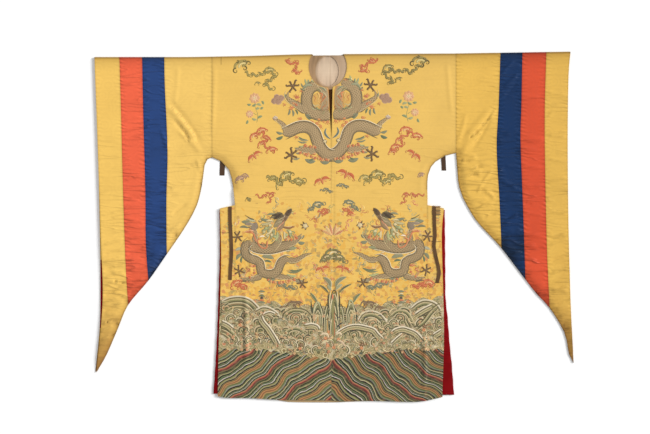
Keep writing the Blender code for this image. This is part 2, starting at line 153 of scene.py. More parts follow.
# Creases of the front: from x, y to x, y, half width, height, bow, all in millimetres
CREASES = [
    (-613, 449, -493, 299, 22, 2.7, 6), (-577, 361, -478, 262, 17, 2.1, 5), (-766, 7, -617, -18, 14, 2.5, 4),
    (-672, -84, -591, -40, 12, 2.5, -3), (-843, -128, -686, -113, 12, 3.0, 5), (-847, -186, -722, -200, 12, 2.8, -5),
    (-843, -290, -762, -272, 12, 3.2, 3), (-847, -354, -786, -339, 12, 4.3, 3), (-852, -412, -812, -396, 8.5, 4.7, 0),
    (-325, -212, -325, -540, 15, 3.8, 5), (580, 438, 471, 299, 20, 2.9, -6), (548, 361, 462, 262, 16, 2.3, -5),
    (456, 205, 533, 222, 8.5, 3.7, 2), (460, 160, 545, 168, 8.5, 3.7, 2), (683, 314, 774, 318, 12, 3.0, 3),
    (606, -8, 777, -33, 12, 3.0, -4), (694, -168, 854, -150, 12, 2.8, 4), (785, -222, 858, -236, 11, 3.0, 2),
    (804, -300, 865, -288, 11, 3.0, -2), (830, -362, 869, -372, 7.5, 4.3, 0), (328, -376, 328, -612, 14, 3.8, 4),
    (-613, 471, -478, 288, 20, -2.2, 6), (-591, 398, -515, 296, 12, -2.5, 3), (-635, 361, -606, 281, 8.5, 3.1, 2),
    (-569, 602, -584, 427, 12, 0.9, 4), (-843, -66, -766, -47, 7.5, 3.4, 3), (-843, -99, -774, -88, 6.5, -2.8, 2),
    (-843, -131, -763, -110, 7.5, 3.7, 3), (-843, -161, -766, -135, 6.5, -3.1, 2),
    (-843, -190, -763, -161, 7.5, 3.7, 3), (-843, -223, -770, -190, 6.5, 3.1, 3),
    (-843, -252, -774, -219, 6.5, -3.4, 2), (-847, -285, -777, -252, 7.5, 4.0, 2),
    (-847, -314, -788, -285, 6.5, -3.4, 2), (-854, -383, -803, -361, 7.5, 3.4, 2),
    (-858, -431, -825, -416, 6.5, 3.1, 1), (-770, 391, -697, 402, 7.5, 2.5, 2), (-766, 172, -694, 186, 7.5, 3.1, 2),
    (-763, 113, -686, 102, 6.5, -2.5, 2), (-763, 33, -686, 18, 7.5, 3.1, -3), (-763, -47, -683, -29, 6.5, 2.8, 3),
    (-759, -102, -683, -84, 7.5, -3.4, 3), (-756, -161, -683, -150, 7.5, 3.4, 3),
    (-752, -208, -686, -190, 7.5, 3.4, 2), (-697, 478, -620, 460, 7.5, 2.5, -3), (-690, 361, -617, 376, 7.5, 2.8, 2),
    (-686, 274, -613, 288, 6.5, -2.8, 2), (-683, 135, -610, 150, 7.5, 2.8, 3), (-679, 55, -610, 40, 6.5, 2.8, -2),
    (-675, -47, -613, -29, 7.5, -3.1, 2), (-672, -106, -624, -84, 7.5, 3.4, 2), (-599, 135, -526, 164, 8.5, 2.5, 3),
    (-591, 44, -533, 88, 7.5, -2.5, 2), (-599, -18, -555, 11, 7.5, 2.5, 2), (-504, 252, -478, 179, 7.5, 2.8, 2),
    (453, 237, 529, 252, 7.5, 3.7, 3), (460, 212, 548, 223, 6.5, -3.1, -2), (467, 182, 540, 197, 7.5, 3.7, 3),
    (471, 153, 551, 161, 6.5, 3.1, -2), (485, 124, 558, 139, 6.5, -3.4, 2), (496, 95, 566, 102, 6.5, 3.4, 2),
    (515, 66, 584, 84, 7.5, 3.1, 3), (540, 29, 595, 51, 7.5, -3.1, 2), (464, 281, 548, 405, 14, 2.5, -5),
    (496, 274, 577, 420, 12, -2.1, -6), (445, 296, 482, 420, 12, 1.7, -4), (518, 113, 584, 215, 8.5, 2.8, 6),
    (606, 555, 661, 610, 8.5, 2.8, 2), (617, 474, 675, 500, 7.5, -2.5, 2), (617, 336, 675, 354, 7.5, 2.8, 2),
    (620, 226, 683, 215, 7.5, 2.5, -2), (624, 99, 683, 113, 7.5, 3.1, 2), (624, 29, 686, 51, 7.5, -2.8, 2),
    (620, -40, 690, -7, 8.5, 3.4, 3), (639, -128, 694, -102, 7.5, 3.1, 2), (668, 464, 756, 474, 7.5, 2.5, 2),
    (679, 226, 763, 215, 7.5, 2.5, -2), (683, 135, 766, 150, 7.5, 2.8, 2), (686, 55, 766, 44, 6.5, 2.5, -2),
    (694, -91, 774, -77, 7.5, -2.8, 2), (701, -223, 774, -208, 7.5, 3.4, 2), (719, -259, 777, -245, 6.5, -3.1, 2),
    (770, 493, 854, 482, 7.5, 2.2, -2), (770, 336, 858, 350, 7.5, 2.8, 2), (774, 252, 854, 237, 6.5, 2.2, -2),
    (774, 164, 858, 179, 7.5, 2.8, 2), (777, 62, 861, 47, 7.5, 2.5, -2), (781, -69, 861, -40, 7.5, 2.8, 3),
    (785, -128, 865, -99, 7.5, -3.1, 3), (785, -175, 865, -146, 7.5, 3.7, 3), (792, -241, 865, -208, 7.5, 3.4, 2),
    (803, -288, 865, -263, 6.5, -3.1, 2), (814, -332, 865, -310, 6.5, 3.4, 2), (832, -398, 869, -380, 6.5, 3.1, 1),
    (-325, -266, -321, -522, 11, -2.4, -3), (328, -405, 332, -613, 8.5, 3.4, 3), (-303, 44, -307, -230, 8.5, 1.9, 2),
    (-4, 281, -4, -613, 7.5, -1.6, 0), (-124, -431, -139, -613, 12, 1.5, 2), (175, -456, 197, -617, 12, 1.5, -2),
    (-434, 617, -445, 318, 12, 1.1, 2), (412, 617, 431, 391, 12, 1.1, -2), (-380, 190, -263, 215, 12, 1.1, 3),
    (241, 215, 343, 201, 12, 1.1, -3), (454, 268, 523, 256, 7, 3.0, 2), (451, 246, 500, 236, 6, -3.0, 1),
    (487, 217, 542, 203, 7, 3.4, -3), (489, 190, 533, 185, 6, -3.2, 2), (542, 135, 588, 99, 7, 3.2, 5),
    (505, 99, 551, 89, 6, 3.0, 2), (569, 135, 597, 121, 6, -2.6, 1), (596, 436, 527, 355, 7, 2.4, 4),
    (588, 425, 469, 299, 7, -2.6, 5), (674, 564, 615, 509, 8, 3.0, 3), (670, 527, 633, 495, 7, -2.6, 2),
    (606, 171, 670, 135, 9, 3.4, 3), (615, 16, 679, 53, 9, 3.2, -3), (624, -34, 683, -47, 7, -3.0, 2),
    (683, 313, 761, 308, 4, 3.0, 0), (688, 89, 724, 80, 5, -2.6, 1), (770, 336, 852, 327, 6, 2.6, 1),
    (770, -34, 852, -25, 4, 3.2, 1), (772, -44, 850, -36, 4, -3.0, 1), (779, -157, 843, -148, 7, 2.8, 1),
    (-818, -160, -752, -178, 7, 3.0, 3), (-816, -196, -742, -214, 7, -3.0, 3), (-812, -236, -748, -262, 7, 3.2, 4),
    (-838, -350, -778, -336, 8, -5.0, 3), (-836, -322, -790, -318, 6, 3.4, 2), (-836, -420, -806, -408, 6, 3.0, 1),
    (-840, -464, -822, -456, 5, -2.6, 0), (-744, -220, -704, -196, 6, 3.4, 2), (-746, -244, -716, -226, 6, -3.0, 2),
    (-704, -80, -664, -62, 7, 3.0, 3), (-700, -122, -652, -102, 7, -3.0, 2), (-700, -152, -668, -140, 6, 2.8, 2),
]


def node_copy(node):
    """A CAD node's mesh with its loose triangles joined."""
    bm = bmesh.new()
    bm.from_mesh(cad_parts[node].data)
    bmesh.ops.remove_doubles(bm, verts=bm.verts[:], dist=TOUCH)
    return bm


def shoulder_table():
    """The top edge of the laid robe: x and y of the points on its fold."""
    rows = {}
    for node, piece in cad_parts.items():
        if node.startswith(FOLDED):
            for x, y, z in (vert.co for vert in piece.data.vertices):
                if abs(z - FOLD_MIDDLE) < TOUCH and y > ABOVE_CHEST:
                    rows[round(x, 5)] = max(y, rows.get(round(x, 5), 0))
    near = 10 * MM
    outer = {x: y for x, y in rows.items() if y > max(v for k, v in rows.items() if abs(k - x) < near) - 1 * MM}
    return np.array(sorted(outer.items())).T


SHOULDER_X, SHOULDER_Y = shoulder_table()


def fold_start(x):
    """The y where the cloth starts to turn over the shoulder."""
    return np.interp(x, SHOULDER_X, SHOULDER_Y) - FOLD_RADIUS - CLOTH / 2


def points_of(edges, pitch, least):
    """Points evenly along edges, no further apart than a pitch."""
    for edge in edges:
        a, b = (v.co.copy() for v in edge.verts)
        count = max(1, least + int((b - a).length / pitch))
        yield from (a.lerp(b, i / count) for i in range(count + 1))


def tree_of(points):
    """A search tree of points, seen from above."""
    tree = KDTree(len(points))
    for i, point in enumerate(points):
        tree.insert((point.x, point.y, 0), i)
    tree.balance()
    return tree


def closed_edges():
    """Where front and back are sewn together: a search tree of points along those edges."""
    points = []
    low = CLOSED_MIDDLE + CLOTH / 2 + 0.05 * MM
    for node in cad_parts:
        if node.startswith(FOLDED):
            bm = node_copy(node)
            points += points_of([edge for edge in bm.edges if edge.calc_length() > 2 * MM and all(
                CLOTH * 1.5 < v.co.z < low and v.co.y < UNDER_NECK for v in edge.verts)], 3 * MM, 0)
            bm.free()
    return tree_of(points)


CLOSED = closed_edges()


def distances(tree, places):
    """How far each place is from the nearest point of a search tree, seen from above."""
    return np.array([tree.find((x, y, 0))[2] for x, y in places])


def ease(t):
    """A smooth rise from 0 to 1."""
    t = np.clip(t, 0, 1)
    return t * t * (3 - 2 * t)


def crease_lift(x, y):
    """How far the creases lift the front, at arrays of places."""
    lift = np.zeros_like(x)
    for x0, y0, x1, y1, half_width, height, bow in CREASES:
        start = np.array((x0, y0)) * MM
        run = np.array((x1 - x0, y1 - y0)) * MM
        length = np.hypot(*run)
        way = run / length
        along = ((x - start[0]) * way[0] + (y - start[1]) * way[1]) / length
        side = (y - start[1]) * way[0] - (x - start[0]) * way[1]
        side = side - bow * MM * 4 * along * (1 - along)
        near = np.clip(np.abs(side) / (half_width * MM), 0, 1)
        fade = ease(np.minimum(along, 1 - along) * 4)
        ridge = height * MM * fade * (1 + np.cos(np.pi * near)) / 2
        lift = np.where(np.abs(ridge) > np.abs(lift), ridge, lift)
    return lift


def front_middle(x, y):
    """The height of the middle of the front cloth, at arrays of places."""
    rise = ease(distances(CLOSED, zip(x, y)) / CLOSED_WIDTH)
    return CLOSED_MIDDLE + (FRONT_MIDDLE - CLOSED_MIDDLE + crease_lift(x, y)) * rise


def flat_cut_of(node):
    """The flat cut of a laid CAD piece: its outer skin, rolled out over the shoulder, as one face."""
    bm = node_copy(node)

    def is_outer(face):
        centre = face.calc_center_median()
        start = float(fold_start(centre.x))
        if centre.y > start:
            radial = Vector((0, centre.y - start, centre.z - FOLD_MIDDLE)).normalized()
            return face.normal.dot(radial) > 0.7
        return face.normal.z > 0.3 if centre.z > CLOTH * 1.5 else face.normal.z < -0.9

    bmesh.ops.delete(bm, geom=[face for face in bm.faces if not is_outer(face)], context="FACES")
    for vert in bm.verts:
        x, y, z = vert.co
        start = float(fold_start(x))
        if y > start:
            along = math.atan2(z - FOLD_MIDDLE, y - start) * FOLD_RADIUS
        else:
            along = (start - y + HALF_ARC) * (1 if z > CLOTH else -1)
        vert.co = (x, along, 0)
    bmesh.ops.dissolve_faces(bm, faces=bm.faces[:])
    return bm


def corners(bm):
    """The low and the high corner of a flat piece."""
    return [[pick(v.co[i] for v in bm.verts) for i in (0, 1)] for pick in (min, max)]


def score(bm, axis, place, snap=0.02 * MM):
    """Cut a piece along a line at a place on one axis."""
    point, normal = [0, 0, 0], [0, 0, 0]
    point[axis], normal[axis] = place, 1
    geom = bm.verts[:] + bm.edges[:] + bm.faces[:]
    bmesh.ops.bisect_plane(bm, geom=geom, dist=snap, plane_co=point, plane_no=normal)


def score_finely(bm):
    """Cut a flat piece into small squares on the front and larger ones on the back."""
    low, high = corners(bm)
    rows = [HALF_ARC * share for share in (-1, -0.5, 0, 0.5, 1)]
    rows += list(np.arange(HALF_ARC + FRONT_PITCH, high[1], FRONT_PITCH))
    rows += list(-np.arange(HALF_ARC + BACK_PITCH, -low[1], BACK_PITCH))
    for along in rows:
        score(bm, 1, along)
    for x in np.arange(low[0] + FRONT_PITCH, high[0], FRONT_PITCH):
        score(bm, 0, x)


def thicken(bm, thickness):
    """Raise a copy of a flat piece, joined to it by a wall round its edge."""
    wall = bmesh.ops.extrude_face_region(bm, geom=bm.faces[:])
    raised = [v for v in wall["geom"] if isinstance(v, bmesh.types.BMVert)]
    bmesh.ops.translate(bm, verts=raised, vec=(0, 0, thickness))


def keep_cut(bm, lean=0):
    """Keep each corner's place on the flat cut, for the weave."""
    cut = bm.loops.layers.uv.new("cut")
    for loop in (corner for face in bm.faces for corner in face.loops):
        x, y, z = loop.vert.co
        loop[cut].uv = (x + lean * z, y)


def laid(flat):
    """Rows of across, along, out on the flat cut, laid over the shoulder and creased."""
    x, along, out = flat.T
    start = fold_start(x)
    past = np.abs(along) - HALF_ARC
    y = start - past
    z = BACK_MIDDLE - out
    front = (past > 0) & (along > 0)
    z[front] = front_middle(x[front], y[front]) + out[front]
    fold = past <= 0
    angle = along[fold] / FOLD_RADIUS
    radius = FOLD_RADIUS + out[fold]
    y[fold] = start[fold] + radius * np.cos(angle)
    z[fold] = FOLD_MIDDLE + radius * np.sin(angle)
    return np.column_stack((x, y, z))


def note(mesh, **values):
    """Keep numbers for each point of a mesh, for its material to read."""
    for name, value in values.items():
        mesh.attributes.new(name, "FLOAT", "POINT").data.foreach_set("value", value * np.ones(len(mesh.vertices)))


def show(mesh, material):
    """Make a mesh a visible piece of the robe."""
    mesh.materials.append(material)
    mesh.shade_smooth()
    piece = placed(mesh.name, mesh)
    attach(piece, "root")
    return piece


def lay_cloth(node, material):
    """Take up a CAD piece as its flat cut, and lay it again as thin cloth."""
    bm = flat_cut_of(node)
    cut_area = sum(f.calc_area() for f in bm.faces)
    low, high = corners(bm)
    border = tree_of(list(points_of(bm.edges, 4 * MM, 1)))
    score_finely(bm)
    thicken(bm, CLOTH)
    bmesh.ops.translate(bm, verts=bm.verts[:], vec=(0, 0, -CLOTH / 2))
    keep_cut(bm)
    mesh = mesh_of(node + "_cloth", bm)
    piece = show(mesh, material)
    flat = np.empty(len(mesh.vertices) * 3)
    mesh.vertices.foreach_get("co", flat)
    flat = flat.reshape(-1, 3)
    place = laid(flat)
    x, y = place[:, 0], place[:, 1]
    # how steep the creases are and how far each point is from the edges, kept for the silk's painted shade there
    slope = np.hypot(crease_lift(x + MM, y) - crease_lift(x - MM, y),
                     crease_lift(x, y + MM) - crease_lift(x, y - MM)) / (2 * MM)
    from_fold = np.maximum(0, np.abs(flat[:, 1]) - HALF_ARC)
    note(mesh, edge=distances(border, flat[:, :2]), rim=np.minimum(from_fold, distances(CLOSED, place[:, :2])),
         fold=np.where(flat[:, 1] > HALF_ARC, slope, 0))
    mesh.vertices.foreach_set("co", place.ravel())
    bm = bmesh.new()
    bm.from_mesh(mesh)
    bmesh.ops.recalc_face_normals(bm, faces=bm.faces[:])
    bm.to_mesh(mesh)
    bm.free()
    mesh.set_sharp_from_angle(angle=math.radians(SHARP_DEG))
    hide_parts(node)
    width, length = high[0] - low[0], high[1] - low[1]
    min(cut_area, width * length)


def linear(red, green, blue):
    """A colour given as it looks, 0 to 255, for a shader socket."""
    channels = (c / 255 for c in (red, green, blue))
    return [c / 12.92 if c <= 0.04045 else ((c + 0.055) / 1.055) ** 2.4 for c in channels] + [1.0]


def aged(colour, keep=0.62, depth=1.0):
    """A silk colour faded toward a warm tone of its own depth, for a shader."""
    grey = depth * (0.3 * colour[0] + 0.6 * colour[1] + 0.1 * colour[2])
    warm = (1.14, 0.985, 0.42 + 0.0013 * grey)
    return linear(*(min(255, grey * w + keep * (depth * c - grey * w)) for c, w in zip(colour, warm)))


def step(kind, *values):
    """One node of arithmetic on numbers, at least one of them a signal."""
    tree = next(value.socket.id_data for value in values if isinstance(value, Signal))
    node = tree.nodes.new("ShaderNodeMath")
    node.operation = kind
    for value, socket in zip(values, node.inputs):
        wire(value, socket)
    return Signal(node.outputs[0])


class Signal:
    """A socket that gives one number, so that sums of such numbers are written as sums."""

    def __init__(self, socket):
        self.socket = socket

    def __add__(self, other):
        return step("ADD", self, other)

    def __sub__(self, other):
        return step("SUBTRACT", self, other)

    def __rsub__(self, other):
        return step("SUBTRACT", other, self)

    def __mul__(self, other):
        return step("MULTIPLY", self, other)

    def __truediv__(self, other):
        return step("DIVIDE", self, other)

    def __pow__(self, other):
        return step("POWER", self, other)

    def __gt__(self, other):
        return step("GREATER_THAN", self, other)

    def __lt__(self, other):
        return step("LESS_THAN", self, other)

    def __abs__(self):
        return step("ABSOLUTE", self)

    def wave(self):
        """Its sine."""
        return step("SINE", self)

    def held(self, low=None, high=None):
        """The same number, no lower than one value and no higher than another."""
        value = self if low is None else step("MAXIMUM", self, low)
        return value if high is None else step("MINIMUM", value, high)

    def share(self, low, high, start=0.0, end=1.0):
        """How far it has come from one value to another, as a number from start to end."""
        span = add(self.socket.id_data, "MapRange", Value=self, From_Min=low, From_Max=high, To_Min=start, To_Max=end)
        return Signal(span.outputs["Result"])


def add(tree, kind, **values):
    """A new shader node with its sockets fed."""
    node = tree.nodes.new("ShaderNode" + kind)
    feed(node, **values)
    return node


def on_cut(tree):
    """Where a point is on the flat cut."""
    place = add(tree, "UVMap")
    place.uv_map = "cut"
    return place.outputs["UV"]


def noted(tree, name):
    """What is kept for each point of the mesh under a name."""
    attribute = add(tree, "Attribute")
    attribute.attribute_name = name
    return attribute.outputs


def on_robe(tree):
    """Where a point is on the robe, whole and as its three numbers."""
    place = add(tree, "TexCoord").outputs["Object"]
    return place, [Signal(part) for part in add(tree, "SeparateXYZ", Vector=place).outputs]


def noise(vector, scale, stretch=None, detail=2.0, distortion=0.0):
    """Soft noise over the surface, from 0 to 1."""
    tree = vector.id_data
    if stretch:
        vector = add(tree, "Mapping", Vector=vector, Scale=stretch).outputs["Vector"]
    speckle = add(tree, "TexNoise", Vector=vector, Scale=scale, Detail=detail, Distortion=distortion)
    return Signal(speckle.outputs["Fac"])


def bands(vector, scale, direction="X", distortion=0.0):
    """Even light and dark bands across the surface, from 0 to 1."""
    threads = add(vector.id_data, "TexWave", Vector=vector, Scale=scale, Distortion=distortion)
    threads.bands_direction = direction
    return Signal(threads.outputs["Fac"])


def vectors(vector, kind, by):
    """A vector or a colour multiplied by another, or scaled by a number."""
    node = add(vector.id_data, "VectorMath")
    node.operation = kind
    wire(vector, node.inputs[0])
    wire(by, node.inputs["Scale" if kind == "SCALE" else 1])
    return node.outputs["Vector"]


def blend(tree, factor, under, over, kind="MIX"):
    """One colour laid over another."""
    node = add(tree, "Mix")
    node.data_type = "RGBA"
    node.blend_type = kind
    feed(node, Factor=factor, A=under, B=over)
    return node.outputs["Result"]


def effect(name, ins, outs):
    """An empty node group, its inputs and the node that takes its outputs."""
    group = bpy.data.node_groups.new(name, "ShaderNodeTree")
    for way, sockets in (("INPUT", ins), ("OUTPUT", outs)):
        for socket in sockets:
            kind = "NodeSocketColor" if socket == "Colour" else "NodeSocketFloat"
            group.interface.new_socket(socket, in_out=way, socket_type=kind)
    return group, group.nodes.new("NodeGroupInput").outputs, group.nodes.new("NodeGroupOutput")


def silk_effect():
    """A node group for silk damask: woven threads, self-coloured cloud scrolls, slow uneven tone, stains and painted
    shade.
    """
    group, given, result = effect("silk_damask", ("Colour", "Pattern", "Crinkle"), ("Colour", "Roughness", "Height"))
    crinkle = Signal(given["Crinkle"])
    cut = on_cut(group)
    place, (x, y, _z) = on_robe(group)
    edge, rim, fold = (Signal(noted(group, name)["Fac"]) for name in ("edge", "rim", "fold"))
    cells = add(group, "TexVoronoi", Vector=cut, Scale=22)
    cells.feature = "SMOOTH_F1"
    feed(cells, Smoothness=0.35)
    scroll = ((Signal(cells.outputs["Distance"]) * 26.0).wave() > 0.15) * Signal(given["Pattern"])
    threads = bands(cut, 260) + bands(cut, 340, "Y")
    shade = noise(cut, 7, detail=4) * 0.20 + 0.91 - scroll * 0.035
    # weft streaks, more wear on one side, and painted shade on crease slopes and in a band by the fold and sewn edges
    shade = shade + (noise(place, 4, (1, 45, 1), 3) - 0.5) * 0.10 - fold.share(0.22, 1.1) * 0.17
    shade = shade * (rim.share(0.0, 0.045) * 0.12 + 0.88) - x.share(-0.1, 0.95) * 0.07
    # painted shade right at the turned and sewn edges; along the cut edges, partly dark seams and partly painted shade
    shade = shade * (edge.share(0.0, 0.006) * 0.22 + 0.78) * (rim.share(0.0, 0.006) * 0.42 + 0.58)
    # brown stains low on the sleeves and at their tips, plus painted shade near the fold and sewn edges
    stains_and_shade = noise(place, 5, detail=4).share(0.46, 0.8) * crinkle * (1.15 - y.share(-0.42, 0.1))
    tips = (1.0 - y.share(-0.56, -0.28)) * (crinkle * noise(place, 14, (1, 3, 1), 3))
    stains_and_shade = stains_and_shade + tips * 2.2 + (1.0 - rim.share(0.0, 0.02)) * 0.5
    # fine wrinkles that run across the fall of the cloth, and puckers along the seams
    ridge = 1.0 - abs(noise(place, 6, (0.8, 5.5, 1), 1.5, 0.5) - 0.5).share(0.0, 0.055)
    patchy = noise(place, 6).share(0.42, 0.62) * (1.3 - y.share(-0.2, 0.6))
    wrinkle = ridge * patchy * crinkle
    # the wrinkle ridges and the top strip where the cloth folds over the shoulder are painted darker: painted shade
    shade = shade * (1.0 - wrinkle * 0.13) * (1.0 - y.share(0.565, 0.645) * 0.11)
    gathers = (y * 430.0 + noise(place, 16, detail=3) * 16.0).wave()
    gathers = gathers * (1.0 - edge.share(0.002, 0.024)) * crinkle
    browned = (1.0 - y.share(-0.53, -0.12)) ** 2.2 * (crinkle > 0.55) * (noise(place, 12, (1, 4, 1), 3) + 0.3)
    grey = add(group, "CombineColor", Red=shade, Green=shade, Blue=shade).outputs["Color"]
    colour = blend(group, 1.0, given["Colour"], grey, "MULTIPLY")
    colour = blend(group, (stains_and_shade * 0.55).held(high=1.0), colour, linear(188, 158, 104), "MULTIPLY")
    colour = blend(group, browned.held(high=0.85), colour, linear(126, 88, 48))
    height = threads * 0.25 + scroll * 0.35 + wrinkle * 34.0 + gathers * 9.0
    feed(result, Colour=colour, Roughness=scroll * 0.12 + 0.42, Height=height)
    return group


SILK = silk_effect()


def steps(value, stops, keep=0.62):
    """Flat steps of faded colour along a value."""
    node = add(value.socket.id_data, "ValToRGB", Fac=value)
    ramp = node.color_ramp
    ramp.interpolation = "CONSTANT"
    while len(ramp.elements) < len(stops):
        ramp.elements.new(0.5)
    for k, (place, _colour) in enumerate(stops):
        ramp.elements[k].position = place
    for element, (_place, colour) in zip(ramp.elements, stops):
        element.color = aged(colour, keep)
    return node.outputs["Color"]


# One repeat of the standing-water stripes, as where each colour starts
STRIPES = [
    (0.0, (112, 22, 34)), (0.035, (214, 100, 84)), (0.085, (142, 128, 82)), (0.12, (16, 22, 22)),
    (0.155, (204, 204, 194)), (0.18, (92, 112, 76)), (0.225, (20, 24, 30)), (0.26, (180, 172, 138)),
    (0.29, (146, 146, 84)), (0.33, (16, 22, 20)), (0.37, (198, 202, 192)), (0.395, (104, 122, 78)),
    (0.44, (150, 138, 86)), (0.48, (184, 124, 76)), (0.575, (152, 132, 84)), (0.61, (18, 24, 20)),
    (0.645, (184, 176, 146)), (0.67, (136, 140, 84)), (0.715, (18, 20, 32)), (0.75, (204, 200, 194)),
    (0.78, (94, 116, 78)), (0.825, (22, 28, 24)), (0.86, (158, 152, 112)), (0.89, (112, 122, 76)),
    (0.93, (26, 26, 22)), (0.96, (142, 126, 84)),
]
# The rings of the small waves that fill the sea between the large crests
SEA = [
    (0.0, (208, 196, 158)), (0.20, (104, 96, 60)), (0.36, (180, 168, 122)), (0.52, (88, 88, 56)),
    (0.64, (200, 184, 142)), (0.80, (142, 116, 78)), (0.90, (108, 108, 72)),
]
# The crumbs of silk strewn over the ground, as where each colour starts
CRUMBS = [
    (0.0, (224, 170, 72)), (0.40, (206, 148, 72)), (0.56, (230, 184, 90)), (0.76, (188, 148, 82)),
    (0.88, (154, 136, 90)), (0.94, (200, 128, 84)),
]


def hem_effect():
    """A node group for the solid embroidery of the skirt: a strewn ground, a sea of small waves, then stripes."""
    group, given, result = effect("hem_embroidery", ("Colour", "Height"), ("Colour", "Height"))
    place, (x, y, _z) = on_robe(group)
    flat = vectors(place, "MULTIPLY", (1, 1, 0))
    x = x * 1000.0 + 9.5
    y = y * 1000.0
    out = abs(x)
    # the stripes stand as waves either side of the middle, closer and steeper on the right
    drop = y + 480.0
    left = out * 0.00576 + drop * 0.00768 + 0.117
    right = out * 0.00715 + drop * 0.00525 + out * drop * 0.00001
    on_right = x > 0.0
    along = out * 0.83 - drop * 0.56
    phase = right * on_right + left * (1.0 - on_right)
    phase = phase + (along * 0.063).wave() * 0.042 + (along * 0.029).wave() * 0.035
    # the hand-worked wobble of the rows, and silks that change along them
    for scale, reach in ((11, 0.26), (70, 0.035)):
        phase = phase + (noise(flat, scale) - 0.5) * reach
    turn = step("FRACT", phase + 8.0)
    row = (turn * 94.2).wave() * (on_right * 0.07 + 0.34) + (0.76 - on_right * 0.14)
    stripes = vectors(steps(turn, STRIPES, 0.8), "SCALE", row)
    faded = ((noise(flat, 48) - 0.46) * 2.2).held(0.0) * 0.5
    stripes = blend(group, faded, stripes, linear(118, 112, 80))
    rust = ((noise(flat, 85) - 0.55) * 2.5).held(0.0) * 0.8
    stripes = blend(group, rust, stripes, linear(166, 112, 84))
    # the sea: rings about scattered centres
    swell = add(group, "TexVoronoi", Vector=flat, Scale=30)
    near = Signal(swell.outputs["Distance"])
    rings = step("FRACT", near * 4.2)
    jewel = Signal(add(group, "SeparateColor", Color=swell.outputs["Color"]).outputs[0]) > 0.80
    sea = blend(group, jewel * (near < 0.24) * 0.85, steps(rings, SEA), linear(196, 124, 88))
    for scale, floor, tone in ((34, 0.54, (206, 192, 162)), (46, 0.54, (104, 112, 86)), (58, 0.58, (180, 122, 88))):
        patch = ((noise(flat, scale) - floor) * 6.0).held(0.0, 0.7)
        sea = blend(group, patch, sea, linear(*tone))
    # the strewn ground above it
    crumbs = add(group, "TexVoronoi", Vector=flat, Scale=92)
    bits = add(group, "SeparateColor", Color=crumbs.outputs["Color"]).outputs
    dense = ((-150.0 - y) * 0.011).held(((92.0 - y) * 0.0036).held(high=0.5), 0.72)
    strewn = Signal(bits[1]) < dense
    # where each begins, with a scalloped edge
    sea_top = out * 0.10 - 306.0 + abs((x * 0.052).wave()) * 16.0
    stripe_top = (out * 0.15 - 490.0).held(high=-452.0) + abs((x * 0.085).wave()) * 9.0
    in_sea, in_stripes = y < sea_top, y < stripe_top
    colour = blend(group, strewn * 0.75, given["Colour"], steps(Signal(bits[0]), CRUMBS, 1.0))
    colour = blend(group, in_stripes, blend(group, in_sea, colour, sea), stripes)
    relief = in_stripes * (turn * 170.0).wave() + in_sea * (rings * 6.3).wave()
    feed(result, Colour=colour, Height=Signal(given["Height"]) + relief)
    return group


HEM = hem_effect()


def silk_material(name, colour, pattern, crinkle=0.0, hem=False, gloss=0.35):
    """Silk damask of one colour."""
    material, tree, shader = painted(name)
    silk = add(tree, "Group")
    silk.node_tree = SILK
    feed(silk, Colour=linear(*colour), Pattern=pattern, Crinkle=crinkle)
    worked = silk
    if hem:
        worked = add(tree, "Group")
        worked.node_tree = HEM
        feed(worked, Colour=silk.outputs["Colour"], Height=silk.outputs["Height"])
    bump = add(tree, "Bump", Height=worked.outputs["Height"], Distance=0.12 * MM, Strength=0.5).outputs["Normal"]
    feed(shader, Base_Color=worked.outputs["Colour"], Roughness=silk.outputs["Roughness"], Normal=bump,
         Sheen_Weight=gloss / 3, Sheen_Roughness=0.4, Specular_IOR_Level=gloss)
    return material


YELLOW_SILK = silk_material("yellow_silk", (230, 187, 95), 0.6, 0.35, hem=True)
for side in ("left", "right"):
    lay_cloth("body_" + side, YELLOW_SILK)

# ---------------------------------------------------------------------------
# The sleeves: a plain yellow stretch, a dark blue band, a coral red band and a yellow cuff on each side, each
# a strip of silk damask cut in one with its back and sewn edge to edge.
# ---------------------------------------------------------------------------
SLEEVE_TONES = {
    "sleeve": ("sleeve_yellow_silk", {"left": ((235, 193, 102), 0.75), "right": ((230, 184, 86), 1.35)}),
    "blue_band": ("blue_silk", {"left": ((34, 64, 118), 3.0), "right": ((12, 48, 92), 3.0)}),
    "red_band": ("red_silk", {"left": ((234, 98, 65), 2.0), "right": ((217, 81, 47), 1.7)}),
    "cuff": ("cuff_yellow_silk", {"left": ((235, 191, 96), 0.6), "right": ((226, 180, 83), 1.0)}),
}
for side in ("left", "right"):
    for part, (slot, tones) in SLEEVE_TONES.items():
        colour, crinkle = tones[side]
        lay_cloth(f"{part}_{side}", silk_material(f"{slot}_{side}", colour, 0.8, crinkle, gloss=0.22))

# ---------------------------------------------------------------------------
# The skirt panels beside the vents, front and back, of the body's silk.
# ---------------------------------------------------------------------------
for side in ("left", "right"):
    for layer in ("front", "back"):
        lay_cloth(f"side_panel_{layer}_{side}", YELLOW_SILK)

# ---------------------------------------------------------------------------
# The facings and linings: a taupe facing round the neck, the cream lining behind it, the brown underlap of the
# slit, the beige lining below the hem and the red facing of the left sleeve's mouth. Thin plain-woven silk.
# ---------------------------------------------------------------------------
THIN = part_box("slit_placket")[1].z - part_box("slit_placket")[0].z
THIN_PITCH = 4 * MM
THIN_RIPPLE = 0.06 * MM
RIBBON_RIPPLE = 0.12 * MM
RIBBON_GAP = 0.3 * MM
PRESSED_AT = -14 * MM
PRESSED_HALF = 1.1 * MM


def stand_for(node, bm, material, slot, sharp, **noted_values):
    """Make thin cut cloth the visible piece that stands for a CAD node."""
    piece = show(mesh_of(node + "_cloth", bm), material)
    note(piece.data, **noted_values)
    piece.data.set_sharp_from_angle(angle=math.radians(sharp))
    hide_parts(node)
    return piece


